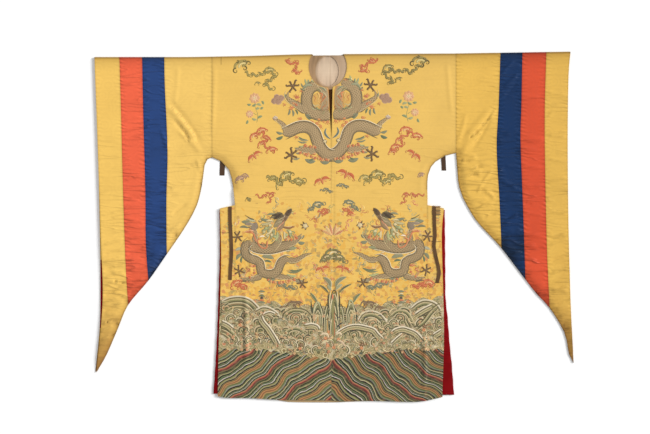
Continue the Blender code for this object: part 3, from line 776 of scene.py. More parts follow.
def lay_thin(node, material, slot, on_front=False):
    """Take up a thin flat CAD piece and lay it again, faintly rippled, on what is under it."""
    bm = node_copy(node)
    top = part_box(node)[1].z
    bmesh.ops.delete(bm, geom=[face for face in bm.faces if face.normal.z < 0.3], context="FACES")
    for vert in bm.verts:
        vert.co.z = 0
    bmesh.ops.dissolve_faces(bm, faces=bm.faces[:])
    cut_area = sum(f.calc_area() for f in bm.faces)
    low, high = corners(bm)
    for axis in (0, 1):
        for place in np.arange(low[axis] + THIN_PITCH, high[axis], THIN_PITCH):
            score(bm, axis, place)
    thicken(bm, THIN)
    bmesh.ops.recalc_face_normals(bm, faces=bm.faces[:])
    keep_cut(bm)
    for vert in bm.verts:
        x, y = vert.co.xy
        ripple = math.sin(x * 190 + 3 * math.sin(y * 60)) + math.sin(y * 150 + 2 * math.sin(x * 70))
        if on_front:
            vert.co.z += float(front_middle(np.array([x]), np.array([y]))[0]) + CLOTH / 2 + RIBBON_GAP
            vert.co.z += RIBBON_RIPPLE * (ripple + 2)
        else:
            vert.co.z += top - THIN + THIN_RIPPLE * ripple
    piece = stand_for(node, bm, material, slot, SHARP_DEG, edge=0.03, rim=0.05, fold=0)
    high[0] - low[0]
    high[1] - low[1]


def neck_silk(name, colour, centre, radii, toward, share, lean=0.0):
    """Plain silk that turns toward another tone near an oval and to its right, with painted shade in its puckers and a
    pressed line.
    """
    material = silk_material(name, colour, 0.0, 0.2, gloss=0.1)
    tree = material.node_tree
    silk = next(n for n in tree.nodes if n.type == "GROUP")
    place, (x, y, _z) = on_robe(tree)
    across = (x - centre[0] * MM) / (radii[0] * MM)
    along = (y - centre[1] * MM) / (radii[1] * MM)
    reach = step("SQRT", across * across + along * along)
    near = ((1.16 - reach) * share).held(0.0) + across.held(0.0) * lean
    # puckers painted as darker streaks: painted shade
    pucker_shade = ((noise(vectors(place, "MULTIPLY", (5, 0.6, 0)), 18) - 0.40) * 2.2).held(0.0, 0.8)
    tone = blend(tree, pucker_shade, linear(*colour), linear(*(0.74 * c for c in colour)))
    tone = blend(tree, near.held(high=0.75), tone, linear(*toward))
    pressed = abs(x - PRESSED_AT) < PRESSED_HALF
    wire(blend(tree, pressed * 0.35, tone, linear(150, 118, 84)), silk.inputs["Colour"])
    return material


TAUPE_FACING = neck_silk("taupe_facing", (167, 135, 101), (-24, 568), (40, 51), (208, 182, 154), 3.4, 0.4)
lay_thin("neck_facing", TAUPE_FACING, "taupe_facing")
CREAM_LINING = neck_silk("cream_lining", (206, 178, 150), (-24, 575), (44, 52), (220, 196, 168), 0.9)
lay_thin("neck_lining", CREAM_LINING, "cream_lining")
lay_thin("slit_placket", silk_material("dark_brown_placket", (78, 46, 12), 0.0, gloss=0.1), "dark_brown_placket")
lay_thin("hem_facing", silk_material("beige_lining", (176, 148, 108), 0.0), "beige_lining")
CRIMSON_SILK = silk_material("crimson_silk", (132, 4, 12), 0.0, 0.4, gloss=0.08)
lay_thin("mouth_facing_left", CRIMSON_SILK, "crimson_silk")

# ---------------------------------------------------------------------------
# The vent gussets: crimson silk folded in two inside each vent, its fold showing past the skirt panels.
# ---------------------------------------------------------------------------
GUSSET_PITCH = 7 * MM
GUSSET_WAVER = 0.5 * MM
GUSSET_SHARP_DEG = 40
for side in ("left", "right"):
    node = "side_gusset_" + side
    bm = node_copy(node)
    corner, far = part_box(node)
    for y in np.arange(corner.y + GUSSET_PITCH, far.y, GUSSET_PITCH):
        score(bm, 1, y, 0.2 * MM)
    keep_cut(bm, lean=1)
    for vert in bm.verts:
        outside = abs(vert.co.x) - abs((corner.x, far.x)[side == "left"])
        vert.co.x += GUSSET_WAVER * math.sin(vert.co.y * 110) * min(1.0, max(0.0, outside / 0.01))
    piece = stand_for(node, bm, CRIMSON_SILK, "crimson_silk", GUSSET_SHARP_DEG, edge=0.03, rim=0.03)

# ---------------------------------------------------------------------------
# The ribbons and ties: a mauve ribbon hanging down each side panel and a short brown tie under each arm.
# ---------------------------------------------------------------------------
# the ribbon's darker streaks are its puckers as painted shade
RIBBON = neck_silk("mauve_ribbon", (100, 74, 50), (0, 0), (1, 1), (100, 74, 50), 0.0)
TIE = silk_material("brown_tie", (78, 58, 44), 0.0, gloss=0.1)
for side in ("left", "right"):
    lay_thin("side_ribbon_" + side, RIBBON, "mauve_ribbon", on_front=True)
    lay_thin("underarm_tie_" + side, TIE, "brown_tie")

# ---------------------------------------------------------------------------
# The embroidery's stitches: satin stitch in coloured silks, worked straight through the damask. Every petal,
# curl and claw is a run of stitches along a path, domed where the threads pile up, and all are joined by group.
# ---------------------------------------------------------------------------
NAVY = (38, 50, 82)
INK = (62, 50, 48)
TEAL = (92, 118, 90)
LEAF = (116, 140, 84)
PALE_GREEN = (166, 182, 122)
OLIVE = (128, 128, 70)
CREAM = (220, 200, 150)
WHITE = (240, 230, 212)
CORAL = (238, 112, 70)
ORANGE = (234, 146, 60)
DARK_RED = (158, 38, 36)
PINK = (232, 146, 124)
PALE_PINK = (240, 190, 160)
MAUVE = (178, 130, 118)
PLUM = (122, 80, 40)
TAUPE = (171, 143, 113)
SHADOW_TAUPE = (116, 95, 68)
GREY_BLUE = (124, 134, 112)
BLUE = (88, 118, 128)
GOLD = (212, 168, 72)
PALE_GOLD = (248, 212, 112)

STITCH_PITCH = 5.0
FEWEST_STATIONS = 5
MOST_STATIONS = 40
STITCH_RISE = 0.45 * MM
STITCH_BASE = 0.12 * MM
LEVEL_STEP = 0.11 * MM
WIDE_RUN = 5
NARROWEST = 0.03
LOWEST = 0.1
ACROSS = {"thin": (-1, 0, 1), "full": (-1, -0.6, 0, 0.6, 1)}
DOME = {"thin": (-0.5, 1, -0.5), "full": (-0.5, 0.75, 1, 0.75, -0.5)}
MIRROR_X = -9.5
# Where stitches stop, in millimetres: the sides, the neck's middle and half axes, the slit's ends and half width
SIDE_EDGES = (-411, 392)
NECK_EDGE = (-23, 585, 71, 78)
SLIT_EDGE = (326, 510, 10)


@functools.cache
def strip_template(stations, across):
    """The faces of a strip of cloth squares, by station and place across."""
    bm = bmesh.new()
    bmesh.ops.create_grid(bm, x_segments=stations - 1, y_segments=across - 1, size=0.5)
    faces = [[round((v.co.x + 0.5) * (stations - 1)) * across + round((v.co.y + 0.5) * (across - 1)) for v in f.verts]
             for f in bm.faces]
    bm.free()
    return np.array(faces)


def through(points, count):
    """A smooth path through a few points, at evenly spread stations, and its sideways directions."""
    knots = np.array(points, float)
    if len(knots) > 2:
        knots = np.vstack((2 * knots[0] - knots[1], knots, 2 * knots[-1] - knots[-2]))
        t = np.linspace(0, len(points) - 1 - 1e-6, 6 * len(points))
        i = t.astype(int)
        t = (t - i)[:, None]
        a, b, c, d = (knots[i + k] for k in range(4))
        knots = (2 * b + (c - a) * t + (2 * a - 5 * b + 4 * c - d) * t**2 + (3 * b - a - 3 * c + d) * t**3) / 2
    run = np.concatenate(([0], np.cumsum(np.hypot(*np.diff(knots, axis=0).T))))
    at = np.linspace(0, run[-1], count)
    path = np.column_stack([np.interp(at, run, knots[:, k]) for k in (0, 1)])
    way = np.gradient(path, axis=0)
    way /= np.maximum(np.hypot(*way.T), 1e-9)[:, None]
    return path, np.column_stack((-way[:, 1], way[:, 0])), at


def spread(shape, s):
    """How wide a run of stitches is along its way, as a share of its widest."""
    if shape == "leaf":
        return np.sin(np.pi * s) ** 0.75
    if shape == "round":
        return np.sqrt(np.maximum(0, 1 - (2 * s - 1) ** 2))
    if shape == "taper":
        return np.minimum(1, np.sqrt(s * 7)) * (1 - s) ** 0.7
    return np.minimum(1, np.sqrt(12 * np.minimum(s, 1 - s)))


def run_of(shape, colour, edge, width, level, points):
    """One run of satin stitch: its shape, its colour and edge colour, its width, its level and its path."""
    return [shape, colour, edge, width, level, [tuple(p) for p in points]]


def knot(x, y, half, width, colour, edge, level):
    """A round knot of stitches."""
    return run_of("round", colour, edge, width, level, [(x - half, y), (x + half, y)])


def around(radius, angle, x=0, y=0, rise=1):
    """A point on an oval about a middle."""
    return x + radius * math.cos(angle), y + rise * radius * math.sin(angle)


def moved(runs, x=0, y=0, turn=0, size=1, level=0):
    """Runs of stitches, turned, sized and moved."""
    c, s = math.cos(math.radians(turn)), math.sin(math.radians(turn))
    return [[*run[:3], run[3] * size, run[4] + level,
             [(x + size * (c * px - s * py), y + size * (s * px + c * py)) for px, py in run[5]]] for run in runs]


def mirrored(runs, about=MIRROR_X):
    """The same runs on the other half of the robe."""
    return [[*run[:5], [(2 * about - x, y) for x, y in run[5]]] for run in runs]


def clear_of_neck(coords):
    """Stitches that would hang over the sides, the neck or the slit, drawn back to their edges."""
    coords[:, 0] = np.clip(coords[:, 0], SIDE_EDGES[0] * MM, SIDE_EDGES[1] * MM)
    x, y = coords[:, 0] / MM - NECK_EDGE[0], coords[:, 1] / MM - NECK_EDGE[1]
    reach = np.hypot(x / NECK_EDGE[2], y / NECK_EDGE[3])
    share = 1 / np.minimum(1.0, np.maximum(reach, 0.05))
    coords[:, 0] = (NECK_EDGE[0] + x * share) * MM
    coords[:, 1] = (NECK_EDGE[1] + y * share) * MM
    x, y = coords[:, 0] / MM - MIRROR_X, coords[:, 1] / MM
    gap = np.clip((y - SLIT_EDGE[0]) / (SLIT_EDGE[1] - SLIT_EDGE[0]), 0, 1) * SLIT_EDGE[2] + 1.0
    slit = (y > SLIT_EDGE[0]) & (np.abs(x) < gap)
    coords[slit, 0] = (MIRROR_X + np.where(x < 0, -1, 1) * gap)[slit] * MM
    return coords


def embroider(name, runs, material, depth=1.0):
    """Work runs of stitches into the front as one joined piece."""
    coords, faces, colours, cuts = [], [], [], []
    base = 0
    for shape, colour, edge, width, level, points in runs:
        length = sum(math.dist(a, b) for a, b in zip(points, points[1:]))
        stations = int(min(MOST_STATIONS, max(FEWEST_STATIONS, length / STITCH_PITCH + 2)))
        kind = "full" if width > WIDE_RUN else "thin"
        across = np.array(ACROSS[kind])
        path, side, at = through(points, stations)
        share = spread(shape, np.linspace(0.0, 1.0, stations))
        half = (np.maximum(share, NARROWEST) * width / 2)[:, None] * across
        xy = path[:, None, :] + side[:, None, :] * half[:, :, None]
        rise = STITCH_RISE * min(1.0, 0.4 + width / 9)
        lift = STITCH_BASE + level * LEVEL_STEP + np.array(DOME[kind]) * rise * np.maximum(share, LOWEST)[:, None]
        coords.append(np.dstack((xy * MM, lift)).reshape(-1, 3))
        cuts.append((np.dstack(np.broadcast_arrays(at[:, None], half)) * MM).reshape(-1, 2))
        core, rim = aged(colour, depth=depth), aged(edge or colour, depth=depth)
        colours.append(np.tile([rim if abs(t) == 1 else core for t in across], (stations, 1)))
        faces.append(strip_template(stations, len(across)) + base)
        base += stations * len(across)
    coords = clear_of_neck(np.vstack(coords))
    coords[:, 2] += front_middle(coords[:, 0], coords[:, 1]) + CLOTH / 2
    mesh = bpy.data.meshes.new(name)
    faces = np.vstack(faces)
    mesh.from_pydata(coords.tolist(), [], faces.tolist())
    mesh.attributes.new("thread", "FLOAT_COLOR", "POINT").data.foreach_set("color", np.vstack(colours).ravel())
    mesh.uv_layers.new(name="cut").data.foreach_set("uv", np.vstack(cuts)[faces.ravel()].ravel())
    show(mesh, material)


def raise_threads(tree, shader, shade, relief, raising, **looks):
    """Give a shader each point's own colour, shaded, over raised threads."""
    bump = add(tree, "Bump", Height=relief, **raising)
    tint = vectors(noted(tree, "thread")["Color"], "SCALE", shade)
    feed(shader, Base_Color=tint, Normal=bump.outputs["Normal"], **looks)


def thread_material():
    """Embroidery silk that takes its colour from the stitches and shows each thread across the run."""
    material, tree, shader = painted("embroidery_silk")
    threads = bands(on_cut(tree), 190, distortion=0.6)
    raise_threads(tree, shader, threads.share(0.0, 1.0, 0.84, 1.06), threads, {"Distance": 0.25 * MM, "Strength": 0.7},
                  Roughness=0.45, Sheen_Weight=0.15)
    return material


THREAD = thread_material()

# ---------------------------------------------------------------------------
# Clouds, bats and flowers: the small figures strewn over the chest and skirt, in green, blue, red and mauve
# silks with pale hearts, each curl outlined in a darker thread.
# ---------------------------------------------------------------------------


def curl(x, y, radius, start, turns, hand, width, colour, edge, level):
    """A scroll that winds in on itself."""
    way = hand * 2 * math.pi * turns
    return run_of("taper", colour, edge, width, level, [
        around(radius * (1 - 0.78 * s), math.radians(start) + way * s, x, y) for s in np.arange(8) / 7])


def cloud_head(x, y, r, dark, mid, light, turn=0):
    """A cloud's head: arched ribs of thread over an open heart, with loose curls about it."""
    runs = []
    for k, (reach, tone, wide) in enumerate(((1.7, mid, 0.7), (1.05, light, 0.55), (0.5, mid, 0.5))):
        arc = [((reach * math.cos(a) + 0.3 * k) * r, (0.62 * reach * math.sin(a) - 0.15 * k) * r)
               for a in (0.2, 0.9, 1.6, 2.3, 3.0, 3.6)]
        runs.append(run_of("even", tone, dark, wide * r, k, arc))
    for cx, cy, size, start, hand in ((-1.7, -0.8, 0.7, 60, 1), (1.7, 0.1, 0.7, 200, -1), (0.5, -0.8, 0.6, 90, -1),
                                      (-0.7, 1.3, 0.45, 200, 1), (1.0, 1.0, 0.4, 150, 1)):
        runs.append(curl(cx * r, cy * r, size * r, start, 1.15, hand, 0.42 * r, dark, mid, 4))
    return moved(runs, x, y, turn)


def cloud_trail(points, width, dark, mid, light):
    """The wavy lines that join two cloud heads."""
    runs = []
    for (x0, y0), (x1, y1) in zip(points, points[1:]):
        dx, dy = x1 - x0, y1 - y0
        long = math.hypot(dx, dy)
        for tone, wide, off in ((mid, 1.2, 0), (light, 0.34, 0.15), (dark, 0.4, 0.55), (dark, 0.36, -0.5)):
            wave = [(x0 + dx * t - dy * (b + width * off / long), y0 + dy * t + dx * (b + width * off / long))
                    for t, b in ((0, 0), (0.3, 0.2), (0.65, -0.18), (1, 0))]
            runs.append(run_of("even", tone, None, width * wide, 1 + (wide < 0.5), wave))
        hand = 1 if x1 > x0 else -1
        start = math.degrees(math.atan2(dy, dx)) + 120
        runs.append(curl(x1, y1, 1.5 * width, start, 1.2, -hand, width * 0.62, dark, mid, 3))
    return runs


GREEN_CLOUD = ((108, 90, 24), (168, 150, 70), (224, 204, 124))
DEEP_CLOUD = ((98, 78, 20), (152, 134, 60), (214, 196, 114))
RED_CLOUD = ((206, 50, 24), (238, 108, 60), (246, 182, 122))
MAUVE_CLOUD = ((166, 116, 104), MAUVE, (214, 168, 140))
BLUE_CLOUD = ((92, 98, 88), GREY_BLUE, CREAM)
BROWN_CLOUD = (SHADOW_TAUPE, OLIVE, CREAM)

# Heads as x, y, size and turn, then the trail that joins them, by palette
CLOUDS = [
    (GREEN_CLOUD, [(-336, 588, 14, 15), (-234, 570, 9, -10), (-278, 523, 5, 0)],
     [(-326, 565), (-304, 553), (-274, 556), (-256, 559), (-236, 570), (-212, 556), (-226, 538), (-246, 531),
      (-253, 516), (-222, 504)], 6.6),
    (DEEP_CLOUD, [(197, 580, 9, 10), (314, 602, 14, -10), (236, 538, 6, 20)],
     [(322, 592), (300, 584), (285, 562), (256, 572), (230, 566), (204, 574), (178, 558), (202, 543), (218, 532),
      (200, 522)], 6.6),
    (RED_CLOUD, [(-160, 604, 8, 160), (-134, 572, 7, 150)],
     [(-176, 606), (-150, 596), (-134, 602), (-138, 580), (-150, 566), (-130, 560)], 4.9),
    (RED_CLOUD, [(140, 608, 8, 170), (106, 576, 8, 200)],
     [(160, 612), (136, 606), (118, 590), (96, 586), (108, 570), (124, 566)], 4.9),
    (RED_CLOUD, [(-262, 350, 9, 0), (-290, 330, 9, 30), (-246, 322, 8, -30), (-262, 302, 8, 20), (-226, 280, 9, 0)],
     [(-290, 330), (-268, 346), (-246, 324), (-262, 304), (-240, 288), (-222, 278)], 5.5),
    (RED_CLOUD, [(262, 352, 10, 0), (304, 330, 9, -20), (240, 316, 8, 20), (226, 290, 9, 0), (214, 272, 7, 0)],
     [(304, 330), (270, 346), (240, 318), (252, 304), (226, 290), (208, 276)], 5.5),
    (MAUVE_CLOUD, [(-340, 174, 9, 10), (-322, 186, 6, -30)], [(-352, 168), (-330, 184)], 4.9),
    (MAUVE_CLOUD, [(318, 190, 6, 10)], [(324, 194), (312, 182)], 3.7),
    (GREEN_CLOUD, [(-172, 186, 12, 10), (-222, 176, 8, 0), (-198, 154, 8, 40), (-128, 164, 10, -20)],
     [(-248, 180), (-220, 178), (-196, 158), (-172, 186), (-150, 166), (-124, 160), (-108, 168)], 7.4),
    (GREEN_CLOUD, [(160, 190, 12, -10), (112, 178, 9, 0), (122, 164, 7, 20), (196, 164, 9, 10), (212, 184, 7, -10)],
     [(106, 174), (130, 172), (160, 192), (184, 164), (204, 184), (244, 182)], 7.4),
    (BLUE_CLOUD, [(-30, 136, 5, 0), (-18, 128, 5, 0)], [(-52, 130), (-30, 138), (-8, 128)], 3.7),
    (BLUE_CLOUD, [(24, 152, 5, 0), (42, 146, 5, 0)], [(8, 148), (28, 154), (50, 146)], 3.7),
    (BLUE_CLOUD, [(-60, 80, 9, 10), (-82, 64, 6, 20)], [(-96, 58), (-78, 68), (-48, 82), (-36, 84)], 5.5),
    (BLUE_CLOUD, [(56, 86, 9, -10), (76, 70, 6, -20)], [(36, 92), (56, 88), (76, 70), (92, 62)], 5.5),
    (BROWN_CLOUD,
     [(-5, -98, 13, 0), (-28, -112, 9, 15), (18, -112, 9, -15), (-5, -116, 9, 0), (-38, -122, 6, 0), (30, -122, 6, 0)],
     [(-50, -128), (-28, -116), (-4, -108), (20, -116), (44, -128)], 6.1),
    (BLUE_CLOUD, [(-190, -212, 8, -10), (-158, -220, 6, 10)],
     [(-216, -204), (-190, -212), (-166, -222), (-140, -222)], 6.1),
    (BLUE_CLOUD, [(166, -214, 8, 10), (134, -220, 6, -10)],
     [(198, -200), (172, -212), (146, -222), (122, -222)], 6.1),
    (RED_CLOUD, [(-356, -208, 10, 20), (-334, -218, 8, 0)], [(-372, -202), (-350, -212), (-326, -222)], 7.3),
    (RED_CLOUD, [(346, -206, 10, -20), (318, -214, 8, 0)], [(362, -212), (340, -208), (312, -216), (284, -218)], 7.3),
    (RED_CLOUD, [(-252, 112, 5, 0), (-226, 118, 6, 20)],
     [(-288, 116), (-262, 108), (-246, 122), (-226, 122), (-230, 96), (-244, 86)], 4.1),
    (RED_CLOUD, [(262, 116, 6, 0), (292, 112, 5, 20)],
     [(330, 122), (300, 112), (282, 122), (256, 120), (260, 96), (244, 84)], 4.1),
    (RED_CLOUD, [(-34, 60, 6, 0), (-46, 44, 5, 0)], [(-60, 52), (-40, 60), (-22, 58), (-36, 44)], 4.9),
    (RED_CLOUD, [(46, 60, 6, 0), (58, 46, 5, 0)], [(28, 66), (46, 60), (66, 58), (54, 42)], 4.9),
    (DEEP_CLOUD, [(-312, 100, 5, 0)], [(-320, 108), (-308, 96)], 3.7),
    (MAUVE_CLOUD, [(-490, 606, 9, 0), (-452, 604, 8, 10)], [(-516, 606), (-486, 600), (-456, 606), (-428, 598)], 4.9),
]


def bat(x, y, size, turn):
    """A small red bat with scrolled wings."""
    runs = []
    for way in (-1, 1):
        runs += [
            run_of("leaf", (232, 88, 46), (206, 60, 36), 8.5, 1, [(0, 1), (8 * way, 7), (18 * way, 5), (25 * way, -3)]),
            run_of("leaf", PINK, CORAL, 3.4, 2, [(3 * way, 2), (10 * way, 2), (17 * way, -3)]),
            run_of("leaf", ORANGE, CORAL, 3.0, 2, [(3 * way, -1), (9 * way, -3), (14 * way, -9)]),
            curl(24 * way, -5, 5, 90, 1, -way, 2.2, DARK_RED, CORAL, 2),
            run_of("taper", DARK_RED, None, 1.6, 3, [(2 * way, 8), (6 * way, 13)]),
        ]
    runs.append(run_of("leaf", CORAL, DARK_RED, 7, 3, [(0, 10), (0, 0), (0, -12)]))
    runs.append(knot(0, 6, 1.5, 3.4, PALE_GOLD, CORAL, 4))
    return moved(runs, x, y, turn, size)


BATS = [(-290, 258, 1.1, 35), (290, 262, 1.15, -35), (-44, 168, 1.15, 20), (44, 190, 1.3, -25),
        (-42, -154, 1.0, 15), (32, -154, 1.0, -15)]


def peony(x, y, size, turn=0, outer=(228, 160, 116), middle=(236, 184, 146)):
    """A full flower: two rings of round petals and a gold heart."""
    runs = []
    rings = ((8, 8.5, 8, outer, (226, 150, 110)), (6, 4.8, 6, middle, PINK), (3, 1.8, 4, CREAM, GOLD))
    for ring, (count, reach, petal, colour, edge) in enumerate(rings):
        for i in range(count):
            angle = math.radians(turn + 360 * (i + 0.5 * ring) / count)
            ends = [around(reach - petal / 2, angle), around(reach + petal / 2, angle)]
            runs.append(run_of("round", colour, edge, petal, ring, ends))
    return moved(runs, x, y, 0, size)


def leaf(x, y, length, turn, colour, edge, width):
    """A pointed leaf with its midrib."""
    runs = [
        run_of("leaf", colour, edge, width, 0, [(0, 0), (length * 0.5, length * 0.12), (length, 0)]),
        run_of("taper", CREAM, None, 1.0, 1, [(1, 0), (length * 0.5, length * 0.1), (length * 0.85, 1)]),
    ]
    return moved(runs, x, y, turn)


def flower_spray():
    """A spray of two flowers on bent stems with pairs of leaves."""
    runs = [
        run_of("taper", LEAF, None, 1.8, 0, [(0, -46), (6, -24), (2, 0), (6, 20)]),
        run_of("taper", LEAF, None, 1.6, 0, [(4, -24), (-8, -16), (-16, -20)]),
    ]
    runs += peony(4, 24, 1.25)
    runs += peony(-16, -18, 0.9, 20)
    for x, y, length, turn in ((6, 8, 14, 200), (6, 6, 15, -20), (2, -8, 13, 10), (4, -34, 16, 20), (2, -36, 15, 160),
                               (22, 14, 12, -70), (-8, 8, 12, 170), (-24, -34, 12, -120), (16, -10, 10, 30)):
        green = ((126, 150, 108), (156, 166, 118))[length % 2]
        runs += leaf(x, y, length, turn, green, (176, 176, 116), 8)
    return runs


HEAD_SIZE = 1.1
figures = []
for palette, heads, trail, width in CLOUDS:
    figures += cloud_trail(trail, width, *palette)
    for x, y, size, turn in heads:
        figures += cloud_head(x, y, HEAD_SIZE * size, *palette, turn)
for placing in BATS:
    figures += bat(*placing)
figures += moved(flower_spray(), -290, 438, 8, 1.3)
figures += mirrored(moved(flower_spray(), -294, 444, 4, 1.35))
embroider("strewn_figures", figures, THREAD)

# ---------------------------------------------------------------------------
# The dragons: one coiled round the neck opening and two climbing from the waves, couched in dull gold thread
# laid as scales, with grey-blue fins, orange flames at the joints and dark five-clawed feet in satin stitch.
# ---------------------------------------------------------------------------


def scale_material():
    """Couched gold laid in overlapping scales, taken from the place along and across the body."""
    material, tree, shader = painted("couched_gold")
    cut = on_cut(tree)
    turned = [add(tree, "Mapping", Vector=cut, Rotation=(0, 0, math.radians(angle))) for angle in (52, -52)]
    meet = step("MAXIMUM", *(bands(lines.outputs["Vector"], 44, distortion=0.4) for lines in turned))
    worn = ((noise(cut, 22) - 0.34) * 3.2).held(0.25, 1.0)
    shade = meet.share(0.35, 1.0, -0.36, 0.34) * worn + 1.0
    raise_threads(tree, shader, shade, meet, {"Distance": 0.5 * MM}, Roughness=0.4, Metallic=0.15)
    return material


COUCHED = scale_material()


def beside(points, distance, count=14):
    """A path a set distance to the left of another."""
    path, side, _ = through(points, count)
    return [tuple(p) for p in path + side * distance]


def trunk(points, width, hand, level=2):
    """A length of dragon: the scaled body in its dark outline, a belly line and a pale line along its back."""
    threads = []
    if hand:
        pale = beside(points, hand * (width / 2 + 1.6), 18)
        threads.append(run_of("even", (238, 222, 192), None, 2.4, level + 2, pale))
    for share, thick in ((0.48, 2.6), (-0.48, 2.6), (-0.18 * hand, 1.5)):
        threads.append(run_of("even", (114, 100, 82), None, thick, level + 3, beside(points, share * width, 18)))
    return [run_of("even", TAUPE, SHADOW_TAUPE, width, level, points)], threads


def flame(x, y, size, turn, dark=CORAL, light=ORANGE, level=3):
    """Three licking tongues from one root."""
    runs = []
    for lean, reach, colour, edge in ((-0.9, 0.75, dark, light), (0.8, 0.8, dark, DARK_RED), (0, 1.0, light, dark)):
        runs.append(run_of("taper", colour, edge, 6.5, level, [
            (0, 0), (8 * reach, 5 * lean + 3), (15 * reach, 7 * lean - 3), (24 * reach, 12 * lean + 2)]))
    runs.append(curl(1, 0, 5, 0, 1, 1, 2.4, PALE_GOLD, dark, level + 1))
    return moved(runs, x, y, turn, size)


def frill(points, hand, tones, reach, level):
    """A flickering edge of short tongues along a dragon's belly."""
    runs = []
    length = sum(math.dist(a, b) for a, b in zip(points, points[1:]))
    path, side, _ = through(points, max(3, int(length / 8)))
    for k, (foot, out) in enumerate(zip(path, side * hand)):
        lean = np.array((out[1], -out[0])) * (4, -3, 1)[k % 3]
        tip = foot + out * reach * (1, 0.7, 0.85)[k % 3] + lean
        runs.append(run_of("leaf", tones[k % 2], tones[0], 9, level, [foot - out * 3, (foot + tip) / 2, tip]))
    return runs


def puff(x, y, size, turn, tones=(MAUVE, (206, 158, 132), PLUM)):
    """A rounded cloud beside a claw: lobes with darker rims."""
    runs = []
    for cx, cy, r in ((-10, 0, 9), (10, 1, 9), (0, 7, 9), (0, -4, 10)):
        runs.append(knot(cx, cy, r, 2 * r, tones[0], tones[1], 1))
        runs.append(curl(cx, cy, 0.7 * r, 30 * cx, 1.1, 1, 2.6, tones[2], tones[0], 3))
    return moved(runs, x, y, turn, size)


def claws(x, y, size, turn):
    """A clawed foot: hooked talons all round a pad."""
    runs = [knot(0, 0, 7, 14, PLUM, TAUPE, 4)]
    for start, reach, hand in ((0, 24, 1), (54, 27, -1), (112, 22, 1), (166, 26, -1), (230, 25, 1), (296, 21, -1)):
        toe = [around(reach * share, math.radians(start + hand * bend))
               for share, bend in ((0.1, 0), (0.5, 6), (0.9, -2), (1.0, 13))]
        runs.append(run_of("even", PLUM, (92, 62, 34), 6.6, 5, toe))
        runs.append(run_of("taper", TAUPE, None, 1.5, 7, toe[:3]))
    return moved(runs, x, y, turn, size)


def pearl(x, y, radius, level):
    """A flaming pearl ringed with beads."""
    runs = [knot(0, 0, radius, 2 * radius, CREAM, GREY_BLUE, level)]
    for k in range(9):
        runs.append(knot(*around(radius, 2 * math.pi * k / 9), 1.7, 3.4, (PLUM, WHITE)[k % 2], INK, level + 1))
    runs.append(curl(0, 0, radius * 0.6, 40, 1.2, 1, 2.2, CORAL, DARK_RED, level + 1))
    return moved(runs, x, y)


def leg(points, width, level):
    """A scaled leg and the pale line down it."""
    scales = [run_of("taper", TAUPE, SHADOW_TAUPE, width, level, points)]
    return scales, [run_of("even", CREAM, None, 1.8, level + 2, beside(points, width * 0.28))]


def gather(*parts):
    """Scaled runs and threads of several parts, each kept with its kind."""
    return [sum((p[k] for p in parts), []) for k in (0, 1)]


RUST = (206, 104, 62)
SAGE = (150, 160, 120)
COIL_SHIFT = (2, 4)
# One side of the coil round the neck opening; the other side is worked to match
half_coil = gather(
    trunk([(-42, 521), (-67, 516), (-89, 502), (-99, 477), (-99, 450), (-89, 425), (-67, 412), (-44, 407),
           (-19, 409)], 41, 0),
    ([run_of("even", TAUPE, SHADOW_TAUPE, 39, 3, [(-54, 406), (-34, 407), (-13, 409)])], []),
    leg([(-95, 420), (-124, 438), (-150, 455), (-170, 473), (-165, 495)], 38, 3),
    leg([(-171, 347), (-186, 373), (-205, 390), (-217, 398)], 26, 3),
    trunk([(-186, 337), (-161, 349), (-129, 363), (-98, 364), (-73, 347), (-61, 315), (-46, 284),
           (-20, 262), (9, 259)], 43, 1, 4),
    leg([(-62, 279), (-94, 280), (-123, 286), (-144, 278)], 36, 3),
)
threads = half_coil[1]
threads += claws(-150, 513, 0.98, 10) + claws(-155, 262, 1.05, 40)
for x, y, length, turn, width, colour in (
    (-186, 331, 28, 200, 13, TEAL), (-186, 341, 26, 165, 11, GREY_BLUE), (-205, 394, 20, 170, 12, MAUVE),
    (-162, 430, 24, 255, 9, GREY_BLUE), (-152, 428, 26, 275, 9, GREY_BLUE), (-142, 429, 22, 295, 8, TEAL),
    (-168, 467, 22, 120, 8, GREY_BLUE), (-88, 514, 26, 105, 8, PALE_GREEN), (-104, 505, 26, 130, 8, GREY_BLUE),
    (-88, 514, 24, 100, 9, GREY_BLUE), (-95, 502, 20, 140, 8, TEAL), (-75, 519, 22, 75, 8, PALE_GREEN),
    (-98, 309, 36, 172, 7, GREY_BLUE), (-98, 318, 34, 160, 6, TEAL), (-101, 300, 30, 190, 6, PALE_GREEN),
    (-108, 279, 34, 200, 9, GREY_BLUE), (-67, 240, 40, 170, 17, GREY_BLUE), (-75, 249, 26, 200, 12, TEAL),
    (-15, 238, 36, 178, 15, GREY_BLUE), (-106, 411, 28, -50, 15, GREY_BLUE), (-78, 397, 24, 160, 12, TEAL),
    (-140, 443, 24, 200, 8, CORAL), (-76, 520, 30, 86, 9, PALE_GREEN), (-92, 514, 30, 118, 9, (150, 170, 130)),
    (-82, 524, 22, 68, 7, CREAM), (-104, 496, 22, 150, 9, TEAL), (-92, 316, 40, 168, 8, (150, 146, 116)),
    (-112, 292, 34, 186, 8, GREY_BLUE), (-124, 252, 28, 186, 9, (150, 146, 116)),
):
    threads += leaf(x, y, length, turn, colour, (124, 122, 92), width)
